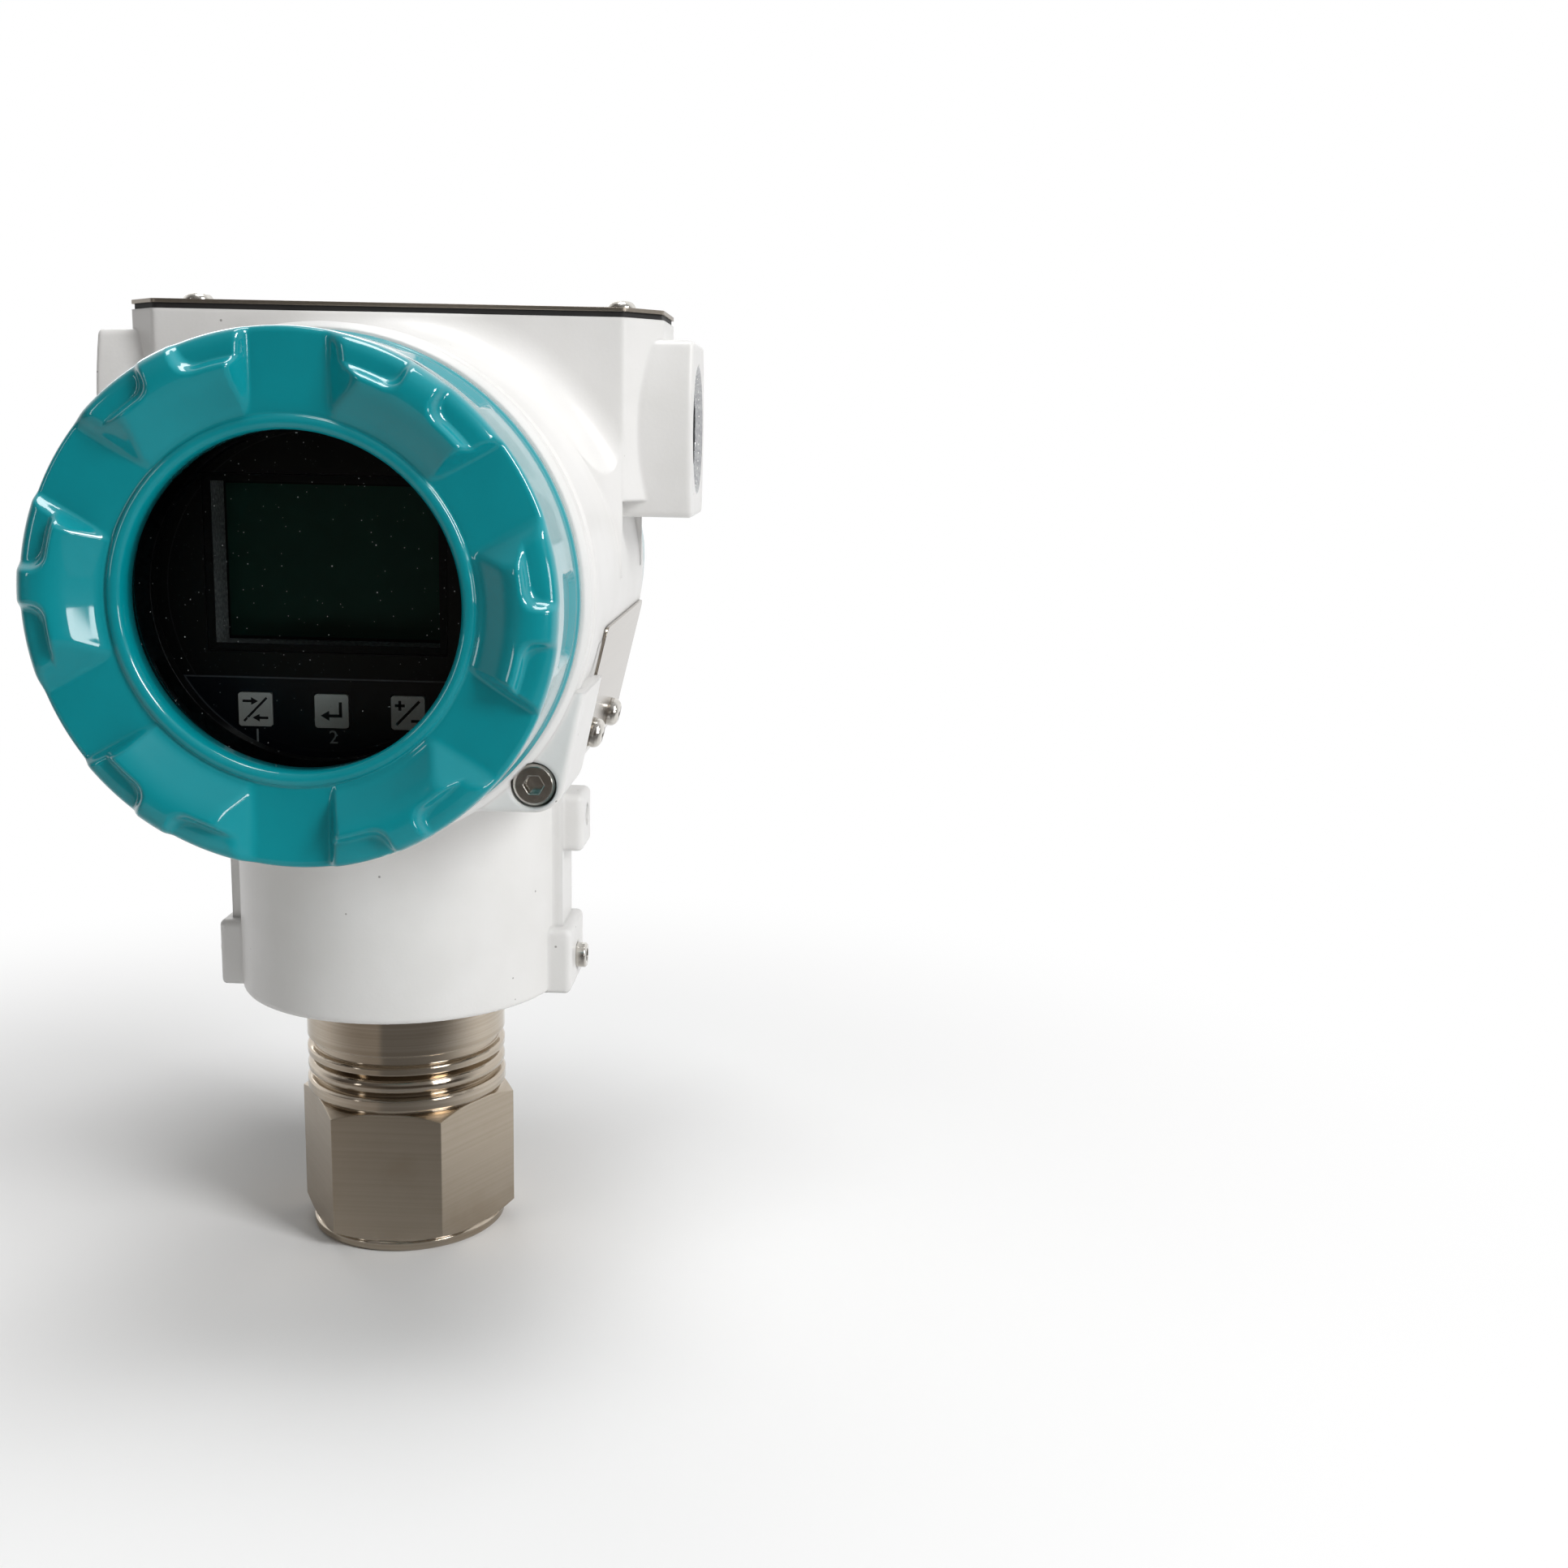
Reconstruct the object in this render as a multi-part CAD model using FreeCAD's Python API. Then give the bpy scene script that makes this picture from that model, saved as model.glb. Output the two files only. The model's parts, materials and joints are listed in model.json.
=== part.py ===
import FreeCAD, Part
import math
import os

from FreeCAD import Vector

# Pressure transmitter: a two-compartment cast housing on a stainless process connection.
# Frame: +Z up along the neck, origin at the centre of the connection's lower end,
# display facing -Y, +X to the right of someone who reads the display. Millimetres.

# ---------------------------------------------------------------- driving dimensions
# process connection and sensor flange (turned about Z)
hex_across_flats = 36.0
collar_d = 37.0
collar_height = 2.0
hex_top_z = 27.4
cell_d = 37.8
cell_bottom_z = 39.0
port_d = 21.3                 # major diameter of the 1/2-14 female pipe thread
port_depth = 19.0
port_chamfer = 0.8
port_bore_d = 15.0
port_bore_depth = 25.0
channel_d = 4.0
channel_top_z = 58.0
flange_d = 53.4
flange_bottom_z = 50.0
spigot_d = 43.84
spigot_top_z = 70.0
capsule_d = 37.0
capsule_height = 6.5

# housing
barrel_axis_z = 127.5
barrel_d = 84.0
front_face_y = -46.5
rear_face_y = 36.5
cavity_d = 71.0
partition_front_y = -4.5
partition_rear_y = 0.5
neck_play = 0.7               # between the sensor flange and the neck's bore
neck_wall = 2.9
neck_bore_d = flange_d + 2 * neck_play
neck_d = neck_bore_d + 2 * neck_wall
neck_bottom_z = 49.1
neck_chamber_top_z = 80.0
passage_d = 14.0
passage_y = -14.0
pad_lean_deg = 13.3           # name plate pads lean in towards the neck
pad_standoff = 42.1           # from the barrel's axis
nameplate_length = 56.8
nameplate_rear_y = 35.6
pad_front_y = nameplate_rear_y - nameplate_length - 3.8
pad_bottom_s = 24.3           # along the pad, down from where it leaves the barrel
gusset_foot_x = neck_d / 2 - 0.3
gusset_foot_z = 89.2
top_face_z = 173.9
top_half_length = 49.0
top_half_front = 42.6
top_front_y = -3.9
top_corner_run = 6.8
front_blend_r = 8.0
rear_blend_r = 5.0
conduit_half_length = 54.7
conduit_y = 13.0
conduit_z = 154.4
conduit_boss_height = 32.0
conduit_boss_corner = 11.95   # half width of the boss at its corners
conduit_boss_bulge = 14.6     # half width of the boss at its middle
conduit_d = 21.2
conduit_thread_length = 20.0
conduit_inner_d = 18.6
conduit_chamfer = 1.4
lug_half_span = neck_d / 2 + 3.2
lug_width = 16.6
lug_height = 12.4
ridge_half_span = neck_d / 2 + 1.2
ridge_width = 12.0
ground_boss_half_span = neck_d / 2 + 5.1
ground_boss_width = 10.8
ground_boss_height = 11.0
ground_boss_z = 81.4
ground_z = 82.2
ear_bottom_z = 91.8
ear_foot_x = 36.9            # the ear's outer side leans like the name plate pads
ear_top_x = 41.2
ear_top_z = 112.0
ear_corner_r = 5.4
ear_front_y = -45.0
ear_rear_y = nameplate_rear_y - nameplate_length - 1.4
lock_x = 32.7
lock_z = 96.5
lock_shank_d = 4.0
lock_shank_length = 11.0

# threaded covers (local axis t runs out of the housing from the cover's rim)
cover_d = 82.0
cover_side_step = 0.4
cover_rim_height = 2.2
cover_gap = 0.2
thread_d = 74.0
thread_length = 10.0
thread_clearance = 0.1
thread_relief_d = 71.2
skirt_bore_d = 66.4
front_cover_depth = 19.4
rear_cover_depth = 13.6
crest_rise = 4.6
crest_r = 36.2
crest_flat = 1.4
ramp_start_r = 28.6
bezel_lip_height = 0.6
window_d = 51.4
notch_count = 6
notch_width = 12.0
notch_flare_deg = 22.0
notch_floor_rise = 1.1
tooth_width = 5.4
slot_depth = 2.0
panel_width = 25.0
panel_start = 4.4
panel_end = 15.6
panel_depth = 0.9
panel_corner_r = 2.4
cover_ceiling = 4.0
oring_section_d = 2.1

# window stack
glass_d = 57.4
glass_thickness = 8.0
window_lip_depth = 4.4
window_gasket_thickness = 0.6
retainer_height = 2.4

# display stack (distances back from the housing's front face)
display_r = 31.0
display_front_y = -47.3
display_bezel_thickness = 3.0
screen_centre_z = 132.0
screen_window = (36.4, 25.8)
screen_recess = 6.6           # the screen lies this far behind the bezel's face
screen_frame_wall = 1.2
screen_thickness = 2.0
key_size = 5.5
key_pitch = 12.45
key_middle_x = 0.4
key_z = 108.4
key_flange = 0.7
key_flange_thickness = 0.8
key_stem_d = 3.2
key_proud = 0.25
key_travel = 0.4
switch_d = 3.8
switch_height = 1.0
board_thickness = 1.6
carrier_back_y = -33.4
main_board_y = -30.0
main_board_d = 64.0
standoff_circle_r = 24.0
module_front_y = -28.4
module_d = 69.4

# top plate, name plates and fasteners
gasket_thickness = 1.0
top_plate_thickness = 0.7
top_screw_x = 40.0
nameplate_height = 24.3
nameplate_thickness = 0.5
nameplate_top_s = -2.4
nameplate_corner_r = 2.2
nameplate_screw_s = 19.1
nameplate_screw_front_y = -6.0
nameplate_screw_rear_y = 19.3
pan_m3 = dict(head_d=5.6, head_height=2.2, shank_d=2.9, length=7.0)
pan_m4 = dict(head_d=8.0, head_height=3.1, shank_d=3.9, length=10.0)
terminal_count = 4
terminal_pitch = 10.0

# clearances
fit_gap = 0.1                 # between pieces that are fitted by hand
seat_gap = 0.3                # between a piece and the wall beside it

# ---------------------------------------------------------------- helpers
Z_AXIS = Vector(0, 0, 1)
Y_AXIS = Vector(0, 1, 0)
X_AXIS = Vector(1, 0, 0)


def box(x0, x1, y0, y1, z0, z1):
    """A block between two opposite corners."""
    return Part.makeBox(x1 - x0, y1 - y0, z1 - z0, Vector(x0, y0, z0))


def rod(start, direction, diameter, length):
    """A cylinder from a start point along a direction."""
    return Part.makeCylinder(diameter / 2, length, start, direction)


def prism(points, travel):
    """A closed polygon swept along a vector."""
    wire = Part.makePolygon(points + [points[0]])
    return Part.Face(wire).extrude(travel)


def turned(profile):
    """A closed (radius, height) outline turned about Z."""
    points = [Vector(r, 0, h) for r, h in profile]
    face = Part.Face(Part.makePolygon(points + [points[0]]))
    return face.revolve(Vector(0, 0, 0), Z_AXIS, 360)


def ring(outer_d, inner_d, bottom, top):
    """A plain ring about Z."""
    return turned([(inner_d / 2, bottom), (outer_d / 2, bottom), (outer_d / 2, top), (inner_d / 2, top)])


def arc_points(centre, radius, start_deg, end_deg, count):
    """Points along an arc in an outline, for turned()."""
    step = (end_deg - start_deg) / (count - 1)
    angles = [math.radians(start_deg + step * i) for i in range(count)]
    return [(centre[0] + radius * math.cos(a), centre[1] + radius * math.sin(a)) for a in angles]


def rounded_block(width, depth, height, corner_r):
    """A block centred on Z with rounded vertical edges, standing on Z = 0."""
    solid = Part.makeBox(width, depth, height, Vector(-width / 2, -depth / 2, 0))
    upright = [e for e in solid.Edges if abs(e.tangentAt(e.FirstParameter).z) > 0.9]
    return solid.makeFillet(corner_r, upright)


def facing_front(shape, y=0.0, z=0.0):
    """Turn a local axis Z to point out of the display side (-Y)."""
    moved = shape.copy()
    moved.rotate(Vector(0, 0, 0), X_AXIS, 90)
    moved.translate(Vector(0, y, z))
    return moved


def facing_rear(shape, y=0.0, z=0.0):
    """Turn a local axis Z to point out of the terminal side (+Y)."""
    moved = shape.copy()
    moved.rotate(Vector(0, 0, 0), X_AXIS, 90)
    moved.rotate(Vector(0, 0, 0), Z_AXIS, 180)
    moved.translate(Vector(0, y, z))
    return moved


def mirrored(shape):
    """The same piece on the other side of the YZ plane."""
    return shape.mirror(Vector(0, 0, 0), X_AXIS)


def hexagon(across_flats, height, base_z=0.0):
    """A hexagonal bar about Z with a corner pointing along X."""
    r = across_flats / math.sqrt(3)
    corners = [Vector(r * math.cos(k * math.pi / 3), r * math.sin(k * math.pi / 3), base_z) for k in range(6)]
    return prism(corners, Vector(0, 0, height))


# ---------------------------------------------------------------- fasteners
def pan_screw(head_d, head_height, shank_d, length):
    """A pan head screw with a cross recess; its head sits on Z = 0 and its shank goes down."""
    crown = arc_points((head_d / 2 - head_height * 0.7, head_height * 0.3), head_height * 0.7, 0, 90, 6)
    outline = [(0, -length), (shank_d / 2 - 0.4, -length), (shank_d / 2, -length + 0.5), (shank_d / 2, 0),
               (head_d / 2, 0)] + crown + [(0, head_height)]
    screw = turned(outline)
    blade = head_d * 0.16
    reach = head_d * 0.26
    depth = head_height * 0.6
    slot = box(-reach, reach, -blade / 2, blade / 2, head_height - depth, head_height + 1)
    cross = slot.fuse(box(-blade / 2, blade / 2, -reach, reach, head_height - depth, head_height + 1))
    return screw.cut(cross)


def along(shape, origin, direction):
    """Lay a piece built along +Z onto another direction."""
    moved = shape.copy()
    moved.Placement = FreeCAD.Placement(origin, FreeCAD.Rotation(Z_AXIS, direction))
    return moved


def socket_set_screw(diameter, length, socket_af):
    """A headless screw with a hexagon socket in its top end, lying below Z = 0."""
    body = turned([(0, -length), (diameter / 2 - 0.6, -length), (diameter / 2, -length + 0.6),
                   (diameter / 2, -0.3), (diameter / 2 - 0.3, 0), (0, 0)])
    return body.cut(hexagon(socket_af, length * 0.5, -length * 0.45))


# ---------------------------------------------------------------- process connection
def process_connection():
    """Hexagon, grooved cylinder, stepped sensor flange and spigot, turned from one bar."""
    hex_r = hex_across_flats / math.sqrt(3)
    collar_r = collar_d / 2
    cell_r = cell_d / 2
    flange_r = flange_d / 2
    corner_drop = (hex_r - collar_r) * 0.6
    bar = hexagon(hex_across_flats, hex_top_z - collar_height, collar_height)
    bar = bar.common(turned([(0, collar_height), (collar_r - 0.3, collar_height), (hex_r, collar_height + corner_drop),
                             (hex_r, hex_top_z - corner_drop), (collar_r - 0.3, hex_top_z), (0, hex_top_z)]))
    collar = turned([(0, 0), (collar_r - 0.5, 0), (collar_r, 0.5), (collar_r, collar_height - 0.3),
                     (collar_r - 0.4, collar_height), (0, collar_height)])
    bead = arc_points((cell_r - 1.55, 32.8), 1.55, -75, 75, 9)
    outline = [(0, hex_top_z), (cell_r - 1.2, hex_top_z), (cell_r - 1.2, 27.9), (cell_r - 0.1, 28.1),
               (cell_r + 0.1, 28.4), (cell_r + 0.1, 30.2), (cell_r - 0.3, 30.6), (cell_r - 1.5, 30.8)]
    outline += bead
    outline += [(cell_r - 1.8, 34.7), (cell_r - 1.8, 35.0), (cell_r - 0.2, 35.2), (cell_r, 35.4), (cell_r, 36.5),
                (cell_r - 0.3, 36.8), (cell_r - 1.1, 37.0), (cell_r - 1.1, cell_bottom_z - 0.4),
                (cell_r, cell_bottom_z), (cell_r, 46.0), (cell_r + 0.7, 46.8), (22.0, 46.9), (22.3, 47.2),
                (22.3, 48.0), (21.6, 48.2), (21.6, 48.6), (24.1, 48.7), (24.4, 49.0), (24.4, flange_bottom_z),
                (flange_r - 0.5, flange_bottom_z), (flange_r, flange_bottom_z + 0.5)]
    seal_r = flange_r - seal_groove_depth()
    outline += [(flange_r, seal_z() - 1.1), (seal_r, seal_z() - 1.1), (seal_r, seal_z() + 1.1),
                (flange_r, seal_z() + 1.1), (flange_r, shoulder_z() - fit_gap),
                (spigot_d / 2, shoulder_z() - fit_gap), (spigot_d / 2, spigot_top_z - 0.5),
                (spigot_d / 2 - 0.5, spigot_top_z), (0, spigot_top_z)]
    solid = bar.fuse(collar).fuse(turned(outline)).removeSplitter()
    port = turned([(0, -1), (port_d / 2 + port_chamfer + 1, -1), (port_d / 2, port_chamfer), (port_d / 2, port_depth),
                   (port_bore_d / 2, port_depth + 1), (port_bore_d / 2, port_bore_depth),
                   (channel_d / 2, port_bore_depth + 3), (channel_d / 2, channel_top_z), (0, channel_top_z)])
    return solid.cut(port)


def shoulder_z():
    """Height of the housing's inner shoulder, which rests on the sensor flange."""
    return neck_bottom_z + lug_height + 0.5


def seal_z():
    return flange_bottom_z + 2.2


def seal_groove_depth():
    return 1.1


def neck_seal():
    """Black ring that closes the gap between the flange and the neck."""
    inner = flange_d / 2 - seal_groove_depth()
    outer = neck_bore_d / 2 - fit_gap
    section = (outer - inner) / 2
    return turned(arc_points(((inner + outer) / 2, seal_z()), section, 0, 330, 12))


def sensor_capsule():
    """Welded can with the measuring cell's electronics, on top of the spigot."""
    r = capsule_d / 2
    top = spigot_top_z + capsule_height
    can = turned([(0, spigot_top_z), (r, spigot_top_z), (r, top - 1.0), (r - 1.0, top), (0, top)])
    return can


def sensor_connector():
    """Plug for the sensor's flat lead, on the capsule."""
    base = spigot_top_z + capsule_height
    body = rounded_block(16, 7, 2.4, 0.8)
    body = body.cut(box(-6.5, 6.5, -2.2, 2.2, 0.8, 3))
    body.translate(Vector(0, 0, base))
    return body


# ---------------------------------------------------------------- housing
def pad_frame():
    """Foot point, outward normal and downward tangent of the right-hand name plate pad."""
    lean = math.radians(pad_lean_deg)
    normal = Vector(math.cos(lean), 0, -math.sin(lean))
    down = Vector(-math.sin(lean), 0, -math.cos(lean))
    foot = Vector(0, 0, barrel_axis_z) + normal * pad_standoff
    return foot, normal, down


def barrel_outside():
    """The barrel with the raised bead behind each cover, about a local Z through both faces."""
    r = barrel_d / 2
    front = -front_face_y
    rear = -rear_face_y
    bead = 0.6
    outline = [(0, rear), (r - 0.8, rear), (r, rear + 0.8), (r, front - 9.6), (r + bead, front - 8.8),
               (r + bead, front - 6.4), (r - 0.4, front - 5.4), (r - 0.4, front - 4.6), (r + 0.4, front - 3.8),
               (r + 0.4, front - 1.0), (r - 0.6, front), (0, front)]
    return facing_front(turned(outline), 0, barrel_axis_z)


def lower_body():
    """The part under the barrel that carries the name plate pads and narrows to the neck."""
    foot, normal, down = pad_frame()
    corner = foot + down * pad_bottom_s
    right = [foot, corner, Vector(gusset_foot_x, 0, gusset_foot_z)]
    left = [Vector(-p.x, 0, p.z) for p in reversed(right)]
    outline = [Vector(p.x, pad_front_y, p.z) for p in right + left]
    body = prism(outline, Vector(0, rear_face_y - pad_front_y, 0))
    long_corners = [e for e in body.Edges if abs(e.Length - (rear_face_y - pad_front_y)) < 0.01
                    and e.CenterOfMass.z < foot.z - 1]
    outer = [e for e in long_corners if abs(e.CenterOfMass.x) > gusset_foot_x + 1]
    body = body.makeFillet(3.0, outer)
    cutter = half_space(Vector(corner.x, pad_front_y, corner.z), Vector(22, pad_front_y + 3, corner.z - 3),
                        Vector(gusset_foot_x, pad_front_y + 12, gusset_foot_z),
                        Vector(gusset_foot_x, pad_front_y, gusset_foot_z - 2))
    cutter = cutter.common(box(1, 60, pad_front_y - 1, pad_front_y + 30, gusset_foot_z - 5, corner.z))
    return body.cut(cutter).cut(mirrored(cutter))


def top_outline(inset, z):
    """Plan of the flat top: straight long sides with cut corners."""
    front = top_front_y + inset
    rear = 2 * conduit_y - top_front_y - inset
    half = top_half_length - inset
    half_front = top_half_front - inset * 0.4
    run = top_corner_run
    return [Vector(-half_front, front, z), Vector(half_front, front, z), Vector(half, front + run, z),
            Vector(half, rear - run, z), Vector(half_front, rear, z), Vector(-half_front, rear, z),
            Vector(-half, rear - run, z), Vector(-half, front + run, z)]


def top_body():
    """The raised block over the barrel that carries the conduit entries and the top plate."""
    base_z = conduit_z - conduit_boss_height / 2 + 3
    block = prism(top_outline(0, base_z), Vector(0, 0, top_face_z - base_z))
    upright = [e for e in block.Edges if abs(e.tangentAt(e.FirstParameter).z) > 0.9]
    return block.makeFillet(1.6, upright)


def conduit_boss():
    """Right-hand conduit boss: flat above and below, bowed at the front and back."""
    low = conduit_z - conduit_boss_height / 2
    high = conduit_z + conduit_boss_height / 2
    corner_f = conduit_y - conduit_boss_corner
    corner_r = conduit_y + conduit_boss_corner
    x0 = 22.0
    front_arc = Part.Arc(Vector(x0, corner_f, low), Vector(x0, conduit_y - conduit_boss_bulge, conduit_z),
                         Vector(x0, corner_f, high))
    rear_arc = Part.Arc(Vector(x0, corner_r, high), Vector(x0, conduit_y + conduit_boss_bulge, conduit_z),
                        Vector(x0, corner_r, low))
    top_line = Part.LineSegment(Vector(x0, corner_f, high), Vector(x0, corner_r, high))
    low_line = Part.LineSegment(Vector(x0, corner_r, low), Vector(x0, corner_f, low))
    wire = Part.Wire([front_arc.toShape(), top_line.toShape(), rear_arc.toShape(), low_line.toShape()])
    boss = Part.Face(wire).extrude(Vector(conduit_half_length - x0, 0, 0))
    corners = [e for e in boss.Edges if abs(abs(e.tangentAt(e.FirstParameter).x) - 1) < 0.01]
    boss = boss.makeFillet(1.6, corners)
    rim = [e for e in boss.Edges if abs(e.BoundBox.XMin - conduit_half_length) < 0.01
           and abs(e.BoundBox.XMax - conduit_half_length) < 0.01]
    return boss.makeFillet(0.8, rim)


def lug():
    """Right-hand block at the neck's mouth for a locking set screw."""
    block = box(20, lug_half_span, -lug_width / 2, lug_width / 2, neck_bottom_z, neck_bottom_z + lug_height)
    outer = [e for e in block.Edges if e.BoundBox.XMin > lug_half_span - 0.1
             or (abs(e.tangentAt(e.FirstParameter).x) > 0.9 and e.CenterOfMass.z > neck_bottom_z + 1)]
    return block.makeFillet(1.2, outer)


def ground_boss():
    """Right-hand boss for an outer ground screw, at the head of the neck's ridge."""
    half = ground_boss_width / 2
    block = box(20, ground_boss_half_span, -half, half, ground_boss_z - ground_boss_height / 2,
                ground_boss_z + ground_boss_height / 2)
    outer = [e for e in block.Edges if e.CenterOfMass.x > 21]
    return block.makeFillet(1.3, outer)


def ear():
    """Corner of the front flange that holds the cover's lock screw."""
    outline = [(15.0, ear_bottom_z), (ear_foot_x, ear_bottom_z), (ear_top_x, ear_top_z), (15.0, ear_top_z)]
    block = prism([Vector(x, ear_front_y, z) for x, z in outline], Vector(0, ear_rear_y - ear_front_y, 0))
    corner = [e for e in block.Edges if abs(e.CenterOfMass.x - ear_foot_x) < 0.1
              and abs(e.CenterOfMass.z - ear_bottom_z) < 0.1]
    block = block.makeFillet(ear_corner_r, corner)
    side = [e for e in block.Edges if abs(e.CenterOfMass.y - (ear_front_y + ear_rear_y) / 2) > 1
            and e.CenterOfMass.x > 16 and e.CenterOfMass.z < ear_top_z - 1]
    return block.makeFillet(0.9, side)


def blend(radius, face_y, outward):
    """Hollow fillet between the barrel and the top block's upright face at face_y."""
    r = barrel_d / 2
    far = face_y + outward * radius
    edge = [Vector(r - 1, face_y - outward, 0), Vector(r - 1, far, 0), Vector(r, far, 0)]
    mid = radius * (1 - math.sqrt(0.5))
    arc = Part.Arc(edge[2], Vector(r + mid, face_y + outward * mid, 0), Vector(r + radius, face_y, 0))
    tail = [Vector(r + radius, face_y, 0), Vector(r + radius, face_y - outward, 0), edge[0]]
    wire = Part.Wire([Part.makePolygon(edge).Edges[0], Part.makePolygon(edge).Edges[1], arc.toShape()]
                     + Part.makePolygon(tail).Edges)
    hoop = Part.Face(wire).revolve(Vector(0, 0, 0), Y_AXIS, 360)
    hoop.translate(Vector(0, 0, barrel_axis_z))
    half = top_half_front - 0.3
    near = half - radius * 0.94
    plan = [(-near, far), (near, far), (half, face_y), (half, face_y - outward), (-half, face_y - outward),
            (-half, face_y)]
    column = prism([Vector(x, y, barrel_axis_z) for x, y in plan], Vector(0, 0, top_face_z - barrel_axis_z))
    return hoop.common(column)


def half_space(a, b, c, outside):
    """A large block on one side of the plane through three points."""
    normal = (b - a).cross(c - a)
    normal.normalize()
    if normal.dot(outside - a) < 0:
        normal = normal * -1
    along_plane = (b - a) * (60 / (b - a).Length)
    across = normal.cross(along_plane)
    corners = [a - along_plane - across, a + along_plane - across, a + along_plane + across, a - along_plane + across]
    return prism(corners, normal * 30)


def cavity(face_y, floor_y):
    """Thread, gland mouth and clear bore of one compartment, as a cutter."""
    outward = 1 if face_y > floor_y else -1
    deep = abs(face_y - floor_y)
    thread_r = thread_d / 2 + thread_clearance
    mouth_r = thread_r + 1.4
    relief = thread_length + 2.4
    cutter = turned([(0, -deep), (cavity_d / 2, -deep), (cavity_d / 2, -relief - 1), (thread_r, -relief),
                     (thread_r, -2.8), (mouth_r, -2.4), (mouth_r, 1), (0, 1)])
    if outward < 0:
        return facing_front(cutter, face_y, barrel_axis_z)
    return facing_rear(cutter, face_y, barrel_axis_z)


def conduit_bore():
    """Right-hand conduit entry, as a cutter."""
    r = conduit_d / 2
    cutter = turned([(0, 1), (r + conduit_chamfer + 1, 1), (r, -conduit_chamfer), (r, -conduit_thread_length),
                     (conduit_inner_d / 2, -conduit_thread_length - 1),
                     (conduit_inner_d / 2, -conduit_half_length + 12), (0, -conduit_half_length + 12)])
    return along(cutter, Vector(conduit_half_length, conduit_y, conduit_z), X_AXIS)


def housing():
    """Die-cast housing: barrel, neck, lower body, top block, bosses and both compartments."""
    neck = rod(Vector(0, 0, neck_bottom_z), Z_AXIS, neck_d, barrel_axis_z - neck_bottom_z)
    rim = [e for e in neck.Edges if e.CenterOfMass.z < neck_bottom_z + 0.1 and e.Closed]
    neck = neck.makeFillet(1.0, rim)
    half_ridge = ridge_width / 2
    ridge = box(-ridge_half_span, ridge_half_span, -half_ridge, half_ridge, neck_bottom_z + 1,
                gusset_foot_z + 1)
    body = barrel_outside().fuse([lower_body(), neck, ridge])
    for shape in (conduit_boss(), lug(), ear()):
        body = body.fuse(shape)
    body = body.fuse([mirrored(conduit_boss()), mirrored(lug()), top_body(), ground_boss(),
                      mirrored(ground_boss()), blend(front_blend_r, top_front_y, -1),
                      blend(rear_blend_r, 2 * conduit_y - top_front_y, 1)])
    cuts = [cavity(front_face_y, partition_front_y), cavity(rear_face_y, partition_rear_y),
            conduit_bore(), mirrored(conduit_bore()),
            rod(Vector(0, 0, neck_bottom_z - 1), Z_AXIS, neck_bore_d, shoulder_z() - neck_bottom_z + 1),
            rod(Vector(0, 0, shoulder_z() - 1), Z_AXIS, spigot_d + 2 * 0.08, neck_chamber_top_z - shoulder_z() + 1),
            rod(Vector(0, passage_y, neck_chamber_top_z - 1), Z_AXIS, passage_d, 16)]
    cuts += fastener_holes()
    for cutter in cuts:
        body = body.cut(cutter)
    return body.removeSplitter()


def fastener_holes():
    """Screw holes of the housing: lock screw, neck screws, grounds, plates and inner pieces."""
    holes = [rod(Vector(lock_x, ear_front_y - 1, lock_z), Y_AXIS, lock_head_d() + 0.8, lock_seat_depth() + 1),
             rod(Vector(lock_x, ear_front_y, lock_z), Y_AXIS, 4.2, 18)]
    for side in (-1, 1):
        direction = Vector(side, 0, 0)
        holes.append(rod(Vector(side * 20, 0, set_screw_z()), direction, 5.0, 20))
        ground_start = Vector(side * (ground_boss_half_span - 11), 0, ground_z)
        holes.append(rod(ground_start, direction, pan_m4["shank_d"] + fit_gap * 2, 12))
        holes.append(rod(Vector(side * top_screw_x, conduit_y, top_face_z - 7), Z_AXIS,
                         pan_m3["shank_d"] + fit_gap * 2, 8))
        for y in (nameplate_screw_front_y, nameplate_screw_rear_y):
            foot, normal = nameplate_point(nameplate_screw_s, y, side)
            holes.append(rod(foot - normal * 7, normal, pan_m3["shank_d"] + fit_gap * 2, 8))
    holes.append(rod(Vector(0, partition_front_y - 1, terminal_z()), Y_AXIS, feedthrough_d() + 2 * fit_gap, 7))
    for x, z in terminal_block_screw_places():
        holes.append(rod(Vector(x, partition_rear_y - 3.5, z), Y_AXIS, pan_m3["shank_d"] + fit_gap * 2, 4))
    return holes


def set_screw_z():
    return neck_bottom_z + 5.2


def lock_head_d():
    return 7.0


def lock_seat_depth():
    return 4.4


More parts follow.
